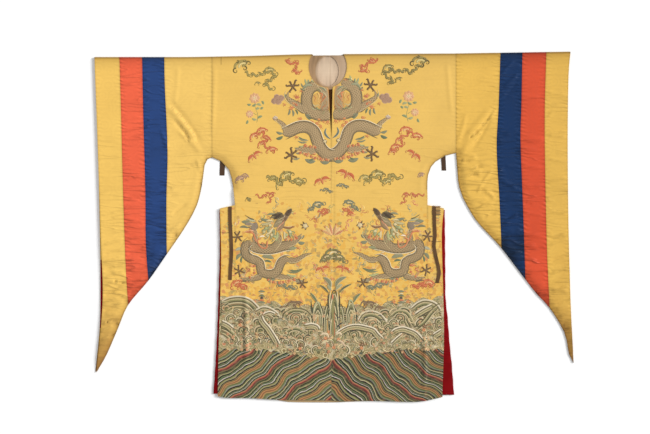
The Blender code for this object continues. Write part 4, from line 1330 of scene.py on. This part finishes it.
for x, y, size, turn in (
    (-138, 466, 0.8, 60), (-144, 456, 0.8, 230), (-135, 473, 0.7, 150), (-67, 381, 0.9, -50), (-51, 372, 0.8, -80),
    (-74, 385, 0.7, 200), (-44, 384, 0.7, 10), (-46, 256, 0.9, 200), (-88, 271, 0.8, 190), (-119, 271, 0.7, 170),
    (-150, 432, 0.8, 170), (-120, 400, 0.8, 235), (-57, 526, 0.7, 110), (-112, 494, 0.7, 160), (-26, 388, 0.8, -70),
    (-36, 400, 0.7, 210), (-60, 392, 0.8, -20), (-132, 330, 0.7, 200), (-66, 268, 0.8, 170), (-34, 250, 0.8, 200),
    (-112, 284, 0.7, 60), (-30, 500, 0.5, 80), (-176, 448, 0.6, 200),
):
    threads += flame(x, y, size, turn)
for path, hand in (([(-119, 274), (-88, 262), (-56, 252), (-20, 247)], -1),
                   ([(-108, 294), (-88, 290), (-67, 288)], 1), ([(-138, 473), (-131, 459), (-140, 448)], 1)):
    threads += frill(path, hand, ((222, 104, 68), (228, 150, 92)), 11, 7)
threads += puff(-205, 464, 1.35, 20) + puff(-93, 407, 0.6, 0, (GREY_BLUE, CREAM, TEAL))
threads += puff(-214, 398, 0.5, 0, ((196, 176, 170), CREAM, MAUVE))
# What shows of the face beside the slit: a golden hollow, a broad cheek, curled brows, whiskers and beard
threads += [run_of(*worked) for worked in (
    ("leaf", (226, 166, 70), (206, 140, 70), 40, 1, [(-62, 488), (-66, 460), (-58, 430)]),
    ("taper", RUST, ORANGE, 5, 6, [(-74, 478), (-66, 470), (-72, 460), (-62, 454)]),
    ("taper", CREAM, SAGE, 5, 6, [(-78, 448), (-68, 440), (-58, 446), (-52, 438)]),
    ("taper", SAGE, CREAM, 6, 7, [(-84, 436), (-70, 428), (-60, 434)]),
    ("taper", (232, 180, 90), (206, 120, 62), 7, 6, [(-60, 490), (-54, 476), (-60, 462), (-52, 450)]),
    ("even", (172, 146, 116), ORANGE, 36, 2, [(-44, 511), (-33, 484), (-32, 450), (-40, 420)]),
    ("taper", CORAL, ORANGE, 6, 7, [(-53, 491), (-42, 484), (-47, 470), (-35, 464)]),
    ("taper", (200, 120, 74), DARK_RED, 6, 7, [(-28, 443), (-40, 438), (-44, 427), (-31, 425)]),
    ("taper", RUST, ORANGE, 7, 7, [(-24, 477), (-33, 473), (-42, 459), (-51, 450)]),
    ("leaf", (196, 176, 138), GREY_BLUE, 6, 8, [(-44, 493), (-33, 484), (-26, 470)]),
    ("leaf", GREY_BLUE, CREAM, 9, 8, [(-53, 509), (-40, 505), (-28, 493)]),
    ("leaf", (140, 128, 92), CREAM, 9, 8, [(-67, 505), (-53, 500), (-44, 486)]),
    ("taper", PALE_GREEN, TEAL, 5, 8, [(-65, 438), (-56, 429), (-42, 432)]),
    ("leaf", (150, 160, 132), GREY_BLUE, 10, 7, [(-113, 509), (-99, 518), (-78, 516)]),
    ("leaf", (120, 132, 108), CREAM, 8, 7, [(-117, 498), (-106, 509), (-97, 514)]),
)]
for x, y, radius, colour in (
    (-40, 475, 8, RUST), (-33, 452, 9, ORANGE), (-47, 450, 7, CREAM), (-26, 432, 7, RUST),
    (-56, 498, 7, GREY_BLUE), (-42, 418, 8, PALE_GREEN),
):
    threads.append(curl(x, y, radius, 90, 1.2, -1, 3.4, colour, SHADOW_TAUPE, 8))
# the pearl's crescent and bead below the slit
threads.append(run_of("leaf", BLUE, CREAM, 9, 3, [(-28, 361), (-33, 345), (-26, 331), (-12, 320)]))
threads += pearl(-33, 312, 6, 8)
embroider("coiled_dragon_body", half_coil[0] + moved(mirrored(half_coil[0]), *COIL_SHIFT), COUCHED)
embroider("coiled_dragon_threads", threads + moved(mirrored(threads), *COIL_SHIFT), THREAD)

FIRE = ((222, 104, 66), (232, 156, 90))
LOCK_SHADE = (104, 112, 80)
PAIR_MIRROR_X = -5
PAIR_SHIFT = (0, -3)
# The right one of the climbing pair that face each other across the middle, seen from the side
parts = gather(
    trunk([(150, -118), (172, -116), (186, -132), (195, -156), (213, -168), (237, -168), (256, -158), (258, -139),
           (266, -122), (293, -112), (311, -98), (315, -77), (308, -57), (296, -47)], 31, 1, 4),
    leg([(161, -116), (136, -120), (116, -112), (96, -99), (68, -92)], 27, 4),
    trunk([(297, -52), (280, -70), (254, -77), (225, -78), (197, -73), (172, -66), (144, -62)], 35, 1, 3),
    leg([(161, -64), (138, -54), (122, -40), (108, -21)], 32, 3),
    leg([(213, -77), (197, -57), (190, -38), (197, -12)], 36, 5),
    leg([(217, -172), (183, -179), (150, -182), (119, -193)], 28, 3),
    leg([(251, -174), (282, -185), (310, -188), (334, -182)], 28, 3),
    leg([(280, -54), (276, -26), (284, -4), (306, 4)], 26, 3),
)
runs = parts[1]
for x, y, size, turn in ((106, -203, 0.82, 0), (336, -158, 0.85, 30), (342, -33, 0.85, 60), (98, 7, 0.62, 20)):
    runs += claws(x, y, size, turn)
runs += pearl(95, 7, 9, 7)
# fins and cloud lobes, as foot, length, turn, width and colour
for x, y, length, turn, width, colour in (
    (209, -113, 46, 10, 18, (136, 142, 116)), (217, -126, 30, 8, 9, TEAL), (124, -73, 42, -20, 15, (140, 150, 116)),
    (122, -52, 26, 185, 14, GREY_BLUE), (117, -38, 22, 150, 12, (120, 122, 98)),
    (321, -77, 30, -10, 13, (168, 172, 158)), (327, -94, 30, -50, 13, GREY_BLUE), (324, -105, 24, -80, 9, TEAL),
    (287, 7, 44, 20, 17, GREY_BLUE), (301, -1, 34, 5, 10, (120, 122, 98)), (280, -7, 28, 70, 14, (140, 128, 116)),
    (161, -161, 60, 168, 9, (120, 128, 92)), (157, -153, 54, 175, 7, TEAL), (164, -168, 40, 190, 9, PALE_GREEN),
    (200, -188, 30, -20, 12, GREY_BLUE), (237, -185, 36, -160, 12, (136, 142, 116)),
    (273, -73, 20, 150, 16, (84, 104, 74)), (284, -77, 20, 60, 12, TEAL), (256, -189, 60, 0, 14, (150, 138, 112)),
    (138, -184, 42, 195, 14, (150, 140, 118)), (296, -200, 36, 8, 10, (112, 92, 72)),
):
    runs += leaf(x, y, length, turn, colour, (108, 114, 92), width)
# the dark brow and snout, the jaw, whiskers and coral cheeks
runs += [run_of(*worked) for worked in (
    ("leaf", (150, 132, 104), (124, 112, 84), 25, 6, [(166, 30), (186, 22), (210, 2)]),
    ("leaf", (98, 78, 52), (134, 122, 88), 25, 10, [(172, 42), (190, 46), (211, 33)]),
    ("leaf", (70, 52, 36), (92, 74, 48), 15, 11, [(178, 53), (191, 45), (208, 31)]),
    ("leaf", (78, 60, 42), None, 10, 11, [(181, 36), (196, 46), (216, 47)]),
    ("taper", (84, 72, 46), None, 5, 12, [(188, 36), (199, 37), (208, 28)]),
    ("taper", (168, 164, 128), None, 4, 12, [(178, 36), (188, 31), (200, 28)]),
    ("taper", (186, 172, 142), None, 3.4, 9, [(180, 23), (194, 20), (212, 8)]),
    ("even", (132, 102, 80), (164, 142, 118), 19, 7, [(160, 50), (170, 34), (182, 22)]),
    ("leaf", (98, 70, 50), (124, 96, 70), 19, 8, [(144, 70), (152, 60), (170, 36)]),
    ("leaf", (86, 60, 44), None, 9, 9, [(142, 60), (152, 63), (162, 58)]),
    ("leaf", (80, 58, 38), None, 8, 9, [(149, 62), (154, 57), (160, 52)]),
    ("taper", (88, 64, 42), None, 5, 9, [(156, 52), (164, 44), (166, 34)]),
    ("taper", (222, 198, 172), None, 5, 9, [(168, 47), (173, 38), (182, 32)]),
    ("leaf", (146, 148, 116), (108, 104, 74), 8, 8, [(202, 50), (220, 51), (236, 46)]),
    ("leaf", (122, 86, 66), (160, 124, 96), 14, 8, [(160, 44), (168, 32), (182, 20)]),
    ("taper", CORAL, PINK, 5, 9, [(168, 34), (178, 17), (190, 7), (197, -4)]),
    ("taper", (206, 186, 152), None, 4, 10, [(171, 35), (183, 23), (195, 18)]),
    ("leaf", (150, 96, 66), (176, 96, 66), 7, 8, [(133, 7), (150, -1), (167, 1), (183, 5)]),
    ("taper", (214, 190, 150), None, 3, 9, [(141, 7), (158, 4), (175, 7)]),
    ("leaf", (160, 122, 92), (120, 96, 72), 15, 7, [(169, 20), (183, 3), (200, -11)]),
    ("taper", PALE_PINK, CORAL, 5, 9, [(183, 12), (195, -1), (197, -15)]),
    ("leaf", (140, 122, 118), (110, 104, 88), 26, 5, [(272, 20), (280, 4), (287, -12)]),
    ("leaf", (176, 182, 150), TEAL, 8, 7, [(273, 24), (293, 27), (310, 33)]),
    ("leaf", (150, 130, 124), (176, 160, 140), 12, 6, [(282, 13), (298, 14), (315, 13)]),
    ("taper", (96, 100, 76), None, 5, 8, [(280, 30), (296, 35), (315, 47)]),
    ("leaf", (116, 114, 88), CREAM, 7, 8, [(189, 44), (206, 41), (223, 34)]),
    ("leaf", CREAM, GREY_BLUE, 7, 9, [(211, 24), (225, 27), (240, 24)]),
    ("taper", PLUM, INK, 5, 9, [(200, 44), (210, 47), (220, 38), (228, 41)]),
    ("leaf", WHITE, DARK_RED, 7, 9, [(242, -32), (251, -30), (263, -33)]),
    ("taper", CREAM, None, 4, 9, [(197, -32), (204, -43), (220, -52)]),
    ("even", (224, 112, 74), ORANGE, 6, 8, [(233, -46), (237, -73), (258, -69), (269, -46), (254, -38)]),
    ("even", (224, 112, 74), CORAL, 5, 8, [(273, -52), (280, -32), (287, -18), (313, -15)]),
    ("taper", PALE_PINK, CORAL, 5, 8, [(280, -12), (301, -10), (324, -18)]),
)]
# the mane and beard: locks that end in curls
for x, y, reach, turn, tone in (
    (217, 21, 40, -30, (190, 180, 132)), (214, 13, 46, -48, (150, 156, 112)), (210, 4, 44, -64, CREAM),
    (206, -4, 42, -82, (150, 156, 112)), (197, -12, 38, -100, PALE_GREEN), (220, 27, 38, -8, GREY_BLUE),
    (161, -7, 24, 200, PALE_GREEN), (155, -12, 24, 235, (150, 170, 122)), (172, -12, 30, 250, CREAM),
):
    lock = [around(reach * s, math.radians(turn + 18 * s), x, y) for s in (0, 0.5, 1)]
    runs.append(run_of("leaf", tone, LOCK_SHADE, 11, 7, lock))
    end = around(reach, math.radians(turn + 10), x, y)
    runs.append(curl(*end, 8, turn, 1.2, -1, 4, tone, LOCK_SHADE, 8))
for x, y, size, turn in (
    (296, -158, 1.0, 20), (287, -144, 0.8, 60), (183, -192, 0.9, 250), (161, -189, 0.8, 240), (127, -32, 0.8, 20),
    (150, -40, 0.7, 40), (251, -52, 0.8, 250), (270, -32, 0.8, 60), (124, -71, 0.7, 200),
):
    runs += flame(x, y, size, turn, *FIRE)
for path, hand in (([(138, -186), (178, -196), (206, -196), (228, -188)], -1),
                   ([(124, -40), (144, -46), (167, -46)], 1), ([(284, -142), (282, -161), (298, -178)], -1)):
    runs += frill(path, hand, FIRE, 10, 6)
for k, (x, y) in enumerate((
    (223, 10), (237, -1), (245, -15), (228, -12), (217, -26), (206, -32), (231, -29), (211, -12), (150, -15),
    (164, -26),
)):
    tone = (CREAM, PALE_GREEN, (196, 184, 130), SAGE)[k % 4]
    runs.append(knot(x, y, 6, 13, tone, (112, 118, 84), 8))
    runs.append(curl(x, y, 6.5, 70 * k, 1.2, 1, 2.6, (104, 104, 72), None, 9))
bodies = parts[0] + moved(mirrored(parts[0], PAIR_MIRROR_X), *PAIR_SHIFT)
embroider("climbing_dragon_bodies", bodies, COUCHED, depth=0.95)
runs += moved(mirrored(runs, PAIR_MIRROR_X), *PAIR_SHIFT)
# The faded flower between the pair, and coral scrolls over their heads
FLOWER = (-4, -30)
for k, lean in enumerate((-64, -40, -16, 16, 40, 64)):
    c, s = math.cos(math.radians(90 - lean)), math.sin(math.radians(90 - lean))
    tone = ((224, 152, 98), (232, 182, 120), (214, 122, 84))[k % 3]
    petal = [(FLOWER[0] + out * c, FLOWER[1] + up * s) for out, up in ((6, 0), (26, 24), (44, 42))]
    runs.append(run_of("leaf", tone, CREAM, 12, 2, petal))
    runs += flame(FLOWER[0] + 40 * c, FLOWER[1] + 36 * s, 0.5, 90 - lean, (222, 112, 74), ORANGE, 3)
embroider("climbing_dragon_threads", runs, THREAD)

# ---------------------------------------------------------------------------
# The sea and the rock: large crests of laid threads over the small waves, foam, flowers and jewels tossed in
# them, and in the middle the striped rock that stands out of the water.
# ---------------------------------------------------------------------------
SEA_OLIVE = (140, 136, 84)
SEA_PALE = (204, 192, 148)
SEA_TAUPE = (158, 136, 100)
SEA_GREEN = (106, 122, 84)
FIFTH_TURN = 1.2566
CREST_TONES = (
    ((212, 204, 180), (84, 76, 44), (184, 174, 136), (100, 106, 68), (210, 198, 158), (134, 106, 72)),
    ((204, 186, 154), (92, 82, 50), (174, 166, 124), (84, 90, 58), (206, 190, 154), (176, 116, 78)),
    ((190, 184, 152), (74, 78, 50), (196, 160, 126), (100, 92, 58), (198, 186, 148), (196, 108, 72)),
)


def crest(x, y, radius, lean, level, rings):
    """A wave's crest: half rings of thread lapped one over the other."""
    runs = []
    heart = radius / (rings + 0.4)
    for k in range(rings):
        r = radius * (1 - k / (rings + 0.4))
        arc = [around(r, a, rise=0.8) for a in (-0.3, 0.7, 1.57, 2.44, 3.44)]
        edge = (SEA_TAUPE, SEA_GREEN)[k % 2]
        runs.append(run_of("even", CREST_TONES[level % 3][k], edge, 1.9 * radius / (rings + 0.4), k, arc))
    runs.append(knot(0, 0, heart, 2.2 * heart, (SEA_OLIVE, (196, 140, 96))[rings % 2], SEA_GREEN, rings))
    return moved(runs, x, y, lean, level=level)


def swell(points, tones, pitch, level):
    """A long sweep of water: narrow bands of thread side by side under one pale lip."""
    runs = []
    for k, tone in enumerate(tones):
        path = points if k == 0 else beside(points, -pitch * k)
        runs.append(run_of("leaf" if k else "even", tone, None, pitch * 1.3, level - k // 2, path))
    return runs


def blossom(x, y, size, petal, heart=PALE_GOLD, level=13):
    """A small five-petalled flower."""
    runs = []
    for k in range(5):
        c, s = math.cos(FIFTH_TURN * k + x), math.sin(FIFTH_TURN * k + x)
        runs.append(run_of("round", petal, CREAM, 5.4, level, [(c, s), (6.6 * c, 6.6 * s)]))
    runs.append(knot(0, 0, 2, 4, heart, DARK_RED, level + 1))
    return moved(runs, x, y, 0, size)


def foam(x, y, size, turn, hand=1, level=0):
    """Breaking foam: a pale hooked claw of water with curls at its lip."""
    runs = [
        run_of("taper", CREAM, MAUVE, 9, 4, [(0, 0), (14, 10 * hand), (30, 10 * hand), (40, 0)]),
        run_of("taper", SEA_PALE, SEA_TAUPE, 6, 5, [(2, -5 * hand), (14, 2 * hand), (28, 2 * hand)]),
        curl(32, 4 * hand, 8, 60, 1.2, -hand, 3.4, CREAM, MAUVE, 6),
        curl(14, 14 * hand, 7, 200, 1.2, hand, 3, WHITE, SEA_TAUPE, 6),
        curl(2, 4 * hand, 8, 120, 1.2, hand, 3, CREAM, SEA_GREEN, 6),
    ]
    return moved(runs, x, y, turn, size, level=level)


def arches(x, foot, width, height, tones, level, core):
    """A stone of the rock: upright arches of stripes about a bright core."""
    stone = [(x, foot - height * 0.2), (x, foot + height * 0.95)]
    runs = [run_of("leaf", SEA_OLIVE, SEA_GREEN, width * 1.1, level - 4, stone)]
    for k, tone in enumerate(tones):
        w, h = width * (1 - k / len(tones)) / 2, height * (1 - 0.6 * k / len(tones))
        path = [(x - w, foot), (x - w, foot + 0.6 * h), (x, foot + h), (x + w, foot + 0.6 * h), (x + w, foot)]
        runs.append(run_of("even", tone, None, width / len(tones) / 2 + 0.7, level + 1, path))
    heart = [(x, foot + 0.05 * height), (x, foot + 0.55 * height)]
    runs.append(run_of("leaf", core, DARK_RED, width * 0.16, level + 2, heart))
    return runs


SCATTER_SEED = 7
FOAMS, BLOSSOMS, FLECKS = 34, 210, 70
scatter = np.random.default_rng(SCATTER_SEED)
sea = []
# Bands of the great swells, then the paler arms that sweep across them, each with its path
SWELL = (
    (214, 208, 194), (108, 100, 62), (194, 180, 144), (134, 140, 92), (84, 82, 50), (200, 188, 154), (150, 120, 84),
    (96, 102, 66), (198, 184, 144), (120, 112, 72),
)
ARM = ((224, 220, 210), (100, 92, 60), (200, 188, 156), (146, 146, 98), (196, 180, 140), (84, 82, 52))
SWEEPS = [
    (SWELL, [(-412, -271), (-384, -257), (-342, -253), (-308, -262), (-281, -285), (-270, -301)]),
    (SWELL[:7], [(-287, -303), (-263, -291), (-238, -293), (-214, -306), (-200, -317)]),
    (SWELL[1:], [(-187, -332), (-180, -312), (-153, -298), (-123, -298), (-99, -306), (-82, -324)]),
    (SWELL[2:6], [(-180, -382), (-153, -367), (-126, -369), (-108, -382)]),
    (SWELL[:7], [(86, -341), (101, -316), (131, -306), (162, -313), (182, -330), (194, -349)]),
    (SWELL[2:], [(201, -327), (223, -307), (247, -303), (271, -313), (290, -346), (299, -361)]),
    (SWELL, [(277, -297), (302, -276), (332, -266), (369, -276), (392, -303)]),
    (SWELL[1:6], [(290, -367), (323, -341), (350, -306), (375, -283), (390, -280)]),
    (SWELL[3:], [(-413, -364), (-388, -373), (-363, -394), (-354, -413)]),
    (ARM, [(-263, -321), (-253, -343), (-235, -364), (-219, -388), (-203, -414), (-198, -428)]),
    (ARM, [(-409, -340), (-384, -352), (-366, -367)]),
    (ARM, [(-109, -355), (-80, -352), (-60, -358), (-50, -373)]),
    (ARM, [(4, -387), (28, -370), (55, -358), (86, -355), (119, -361), (147, -370), (163, -388), (182, -406)]),
    (ARM, [(207, -382), (223, -370), (250, -364), (274, -370), (302, -383), (325, -408)]),
    (ARM, [(293, -316), (323, -297), (358, -279)]),
    (ARM, [(360, -390), (381, -377), (390, -370)]),
    (ARM[:4], [(206, -422), (229, -401), (249, -385)]),
    (ARM[:3], [(-260, -319), (-251, -312), (-232, -308), (-213, -315)]),
]
# Rows of crests, as height by the middle, climb toward the sides, radius and pitch
ROWS = [(-338, 0.09, 20, 36), (-366, 0.08, 19, 33), (-394, 0.06, 18, 31), (-420, 0.06, 16, 28), (-444, 0.08, 15, 27)]
ROCK_HALF = 46
for row, (low, climb, radius, pitch) in enumerate(ROWS):
    for k, x in enumerate(np.arange(-392 + 15 * (row % 2), 392, pitch)):
        out = abs(x - MIRROR_X)
        if out < ROCK_HALF and row < 2:
            continue
        y = low + climb * out + scatter.uniform(-12, 12)
        sea += crest(x, y, radius * scatter.uniform(0.6, 1.3), scatter.uniform(-75, 75), row + 2, 4 + (k + row) % 2)
for k, (tones, points) in enumerate(SWEEPS):
    sea += swell(points, tones, 4.6 if tones[0] == SWELL[0] else 4.0, (14 if tones[0] == ARM[0] else 9) + k % 2)
for x, y, radius, lean, rings in ((-400, -295, 24, 90, 6), (141, -353, 23, 20, 6), (-138, -332, 26, 10, 6),
                                  (390, -321, 16, -60, 5), (241, -333, 22, -20, 5)):
    sea += crest(x, y, radius, lean, 8, rings)
for k in range(FOAMS):
    x, y = scatter.uniform(-385, 385), scatter.uniform(-455, -300)
    sea += foam(x, y + 0.06 * abs(x), scatter.uniform(0.5, 0.9), scatter.uniform(-60, 60), (-1, 1)[k % 2], 7)
PETALS = ((220, 110, 78), (214, 134, 96), (222, 150, 122), (206, 112, 82), (214, 164, 104), (128, 140, 120))
for k in range(BLOSSOMS):
    x = scatter.uniform(-392, 392)
    y = scatter.uniform(-476, -318) + 0.07 * abs(x)
    sea += blossom(x, y, scatter.uniform(0.4, 0.95), PETALS[k % 6], (226, 190, 132))
for x, y in ((-339, -344), (331, -362), (-120, -430), (104, -428)):
    sea += blossom(x, y, 1.5, PLUM, MAUVE) + blossom(x - 4, y - 13, 1.1, CORAL)
for k in range(FLECKS):
    x, y = scatter.uniform(-385, 385), scatter.uniform(-470, -320)
    tone = (INK, NAVY, PLUM, (196, 110, 70))[k % 4]
    sea.append(run_of("taper", tone, None, 4, 13, [(x, y), (x + 9, y + 4), (x + 17, y - 1)]))
embroider("sea", sea, THREAD, depth=0.96)

rock = []
# The rock's stones, as middle, foot, width, height and core, then the blades and wings of cloud that crown it
STONE = ((70, 74, 50), (210, 200, 164), (116, 130, 94), (72, 74, 48), (212, 200, 162), (110, 124, 88), (190, 150, 104))
for x, foot, width, height, level, core in (
    (1, -400, 36, 172, 8, CORAL), (1, -404, 30, 92, 11, CORAL), (-24, -396, 24, 118, 6, GOLD),
    (25, -396, 24, 116, 6, GOLD), (-59, -362, 36, 90, 6, GOLD), (62, -360, 34, 90, 6, GOLD),
    (-59, -352, 22, 52, 9, ORANGE), (62, -350, 22, 52, 9, ORANGE),
):
    rock += arches(x, foot, width, height, STONE, level, core)
for colour, width, points in (
    (GREY_BLUE, 17, [(7, -221), (11, -203), (25, -190), (46, -181)]),
    (GREY_BLUE, 17, [(-12, -224), (-15, -204), (-25, -192), (-39, -183)]),
    ((150, 160, 132), 13, [(5, -230), (19, -215), (31, -209)]),
    ((150, 160, 132), 13, [(-9, -231), (-18, -218), (-25, -212)]),
    ((92, 100, 70), 9, [(17, -241), (37, -221), (66, -206)]),
    ((92, 100, 70), 9, [(-19, -241), (-33, -224), (-51, -211)]),
    ((104, 124, 88), 12, [(71, -276), (80, -257), (98, -241)]),
    ((104, 124, 88), 12, [(-61, -276), (-68, -263), (-86, -239)]),
    ((168, 176, 132), 6, [(54, -297), (55, -276), (62, -266), (75, -294)]),
    ((168, 176, 132), 6, [(-76, -309), (-70, -285), (-59, -273), (-47, -300)]),
    ((70, 78, 62), 5, [(80, -346), (83, -315), (77, -294)]),
    ((70, 78, 62), 5, [(-79, -333), (-80, -303), (-83, -270)]), (CORAL, 6, [(-5, -244), (-5, -257), (-5, -266)]),
    ((206, 196, 150), 5, [(10, -227), (14, -266), (13, -303)]),
    ((206, 196, 150), 5, [(-12, -227), (-16, -266), (-15, -303)]),
    ((60, 70, 60), 4, [(18, -233), (21, -273), (20, -315)]),
    ((60, 70, 60), 4, [(-18, -233), (-21, -273), (-21, -315)]),
    ((52, 62, 74), 6, [(7, -373), (17, -358), (33, -347)]),
    ((214, 196, 176), 9, [(-51, -397), (-39, -388), (-24, -392), (-18, -406)]),
    ((214, 196, 176), 9, [(4, -394), (19, -385), (31, -397)]),
    ((206, 196, 160), 8, [(-48, -428), (-33, -416), (-18, -419)]),
    ((206, 180, 160), 8, [(10, -412), (28, -419), (43, -437)]),
):
    rock.append(run_of("leaf", colour, CREAM if width > 8 else None, width, 13, points))
for way in (-1, 1):
    rock += foam(MIRROR_X + way * 26, -404, 1.1, 90 - way * 60, way)
x = MIRROR_X + 2
rock += peony(x - 4, -412, 1.9, 0, (220, 148, 122), (228, 184, 152))
for k in range(6):
    rock += blossom(x + 24 * math.cos(k), -410 + 30 * math.sin(k), 1.1, CORAL, PALE_GOLD, 9)
embroider("rock", rock, THREAD)

SPRIGS, SCROLLS = 230, 190
strewn = [run_of("even", INK, None, 1.6, 4, points) for points in (
    [(352, -53), (372, -54), (392, -52)], [(-410, -20), (-398, -22), (-380, -20)])]
for k, tone in enumerate(((150, 100, 44), (186, 134, 62), (120, 84, 44), (170, 112, 54), (128, 96, 56))):
    across = [(x, y - 7 * k) for x, y in ((356, 76), (374, 73), (390, 74))]
    strewn.append(run_of("even", tone, (134, 92, 44), 6.5, 1 + k % 2, across))
for k in range(SPRIGS):
    x, y = scatter.uniform(-392, 392), scatter.uniform(-285, -176)
    if y > -215 and scatter.random() < 0.55 or y < -300 + 0.12 * abs(x):
        continue
    kind = k % 5
    if kind < 2:
        strewn += flame(x, y, scatter.uniform(0.3, 0.55), scatter.uniform(0, 360), ORANGE, PALE_GOLD, 1)
    elif kind == 2:
        strewn.append(curl(x, y, 6, scatter.uniform(0, 360), 1.2, 1, 2.6, (226, 140, 70), None, 1))
    elif kind == 3:
        strewn.append(run_of("leaf", (222, 132, 70), GOLD, 6, 1, [(x, y), (x + 8, y + 3), (x + 16, y)]))
    else:
        strewn += leaf(x, y, 12, scatter.uniform(0, 360), (150, 136, 96), GOLD, 5)
for way in (-1, 1):
    x, y = MIRROR_X + way * 254, -236
    for k, (w, tone) in enumerate(((26, GREY_BLUE), (18, CREAM), (24, TEAL), (15, NAVY), (22, CORAL), (28, GREY_BLUE))):
        low = y - 8 * k
        strewn.append(run_of("leaf", tone, INK, 7.5, 3, [(x - w / 2, low), (x, low + 2), (x + w / 2, low)]))
    strewn += flame(x - 20, y - 40, 0.8, 150) + flame(x + 20, y - 40, 0.8, 30)
    for dx, dy, size in ((176, -300, 9), (140, -284, 11), (122, -280, 8), (196, -304, 7)):
        strewn += cloud_head(MIRROR_X + way * dx, dy, size, PLUM, (132, 100, 84), SEA_TAUPE)
SCROLL_TONES = ((CORAL, PINK), (ORANGE, PALE_GOLD), (GREY_BLUE, CREAM), ((206, 92, 58), ORANGE), (LEAF, CREAM),
                ((226, 140, 110), CREAM), (OLIVE, PALE_GREEN))
for k in range(SCROLLS):
    x, y = scatter.uniform(-395, 380), scatter.uniform(-215, 88)
    if abs(x - MIRROR_X) > 325 and y > 48:
        continue
    tone, edge = SCROLL_TONES[k % 7]
    scroll = [run_of("taper", tone, edge, 4.4, 0, [(0, 0), (7, 4), (14, -2), (22, 2)]),
              curl(0, 3, 5, -90, 1.1, -1, 3, tone, edge, 0),
              run_of("leaf", edge, tone, 4, 0, [(5, -4), (11, -6), (17, -5)])]
    strewn += moved(scroll, x, y, scatter.uniform(0, 360), scatter.uniform(0.7, 1.3))
embroider("strewn_ground", strewn, THREAD)
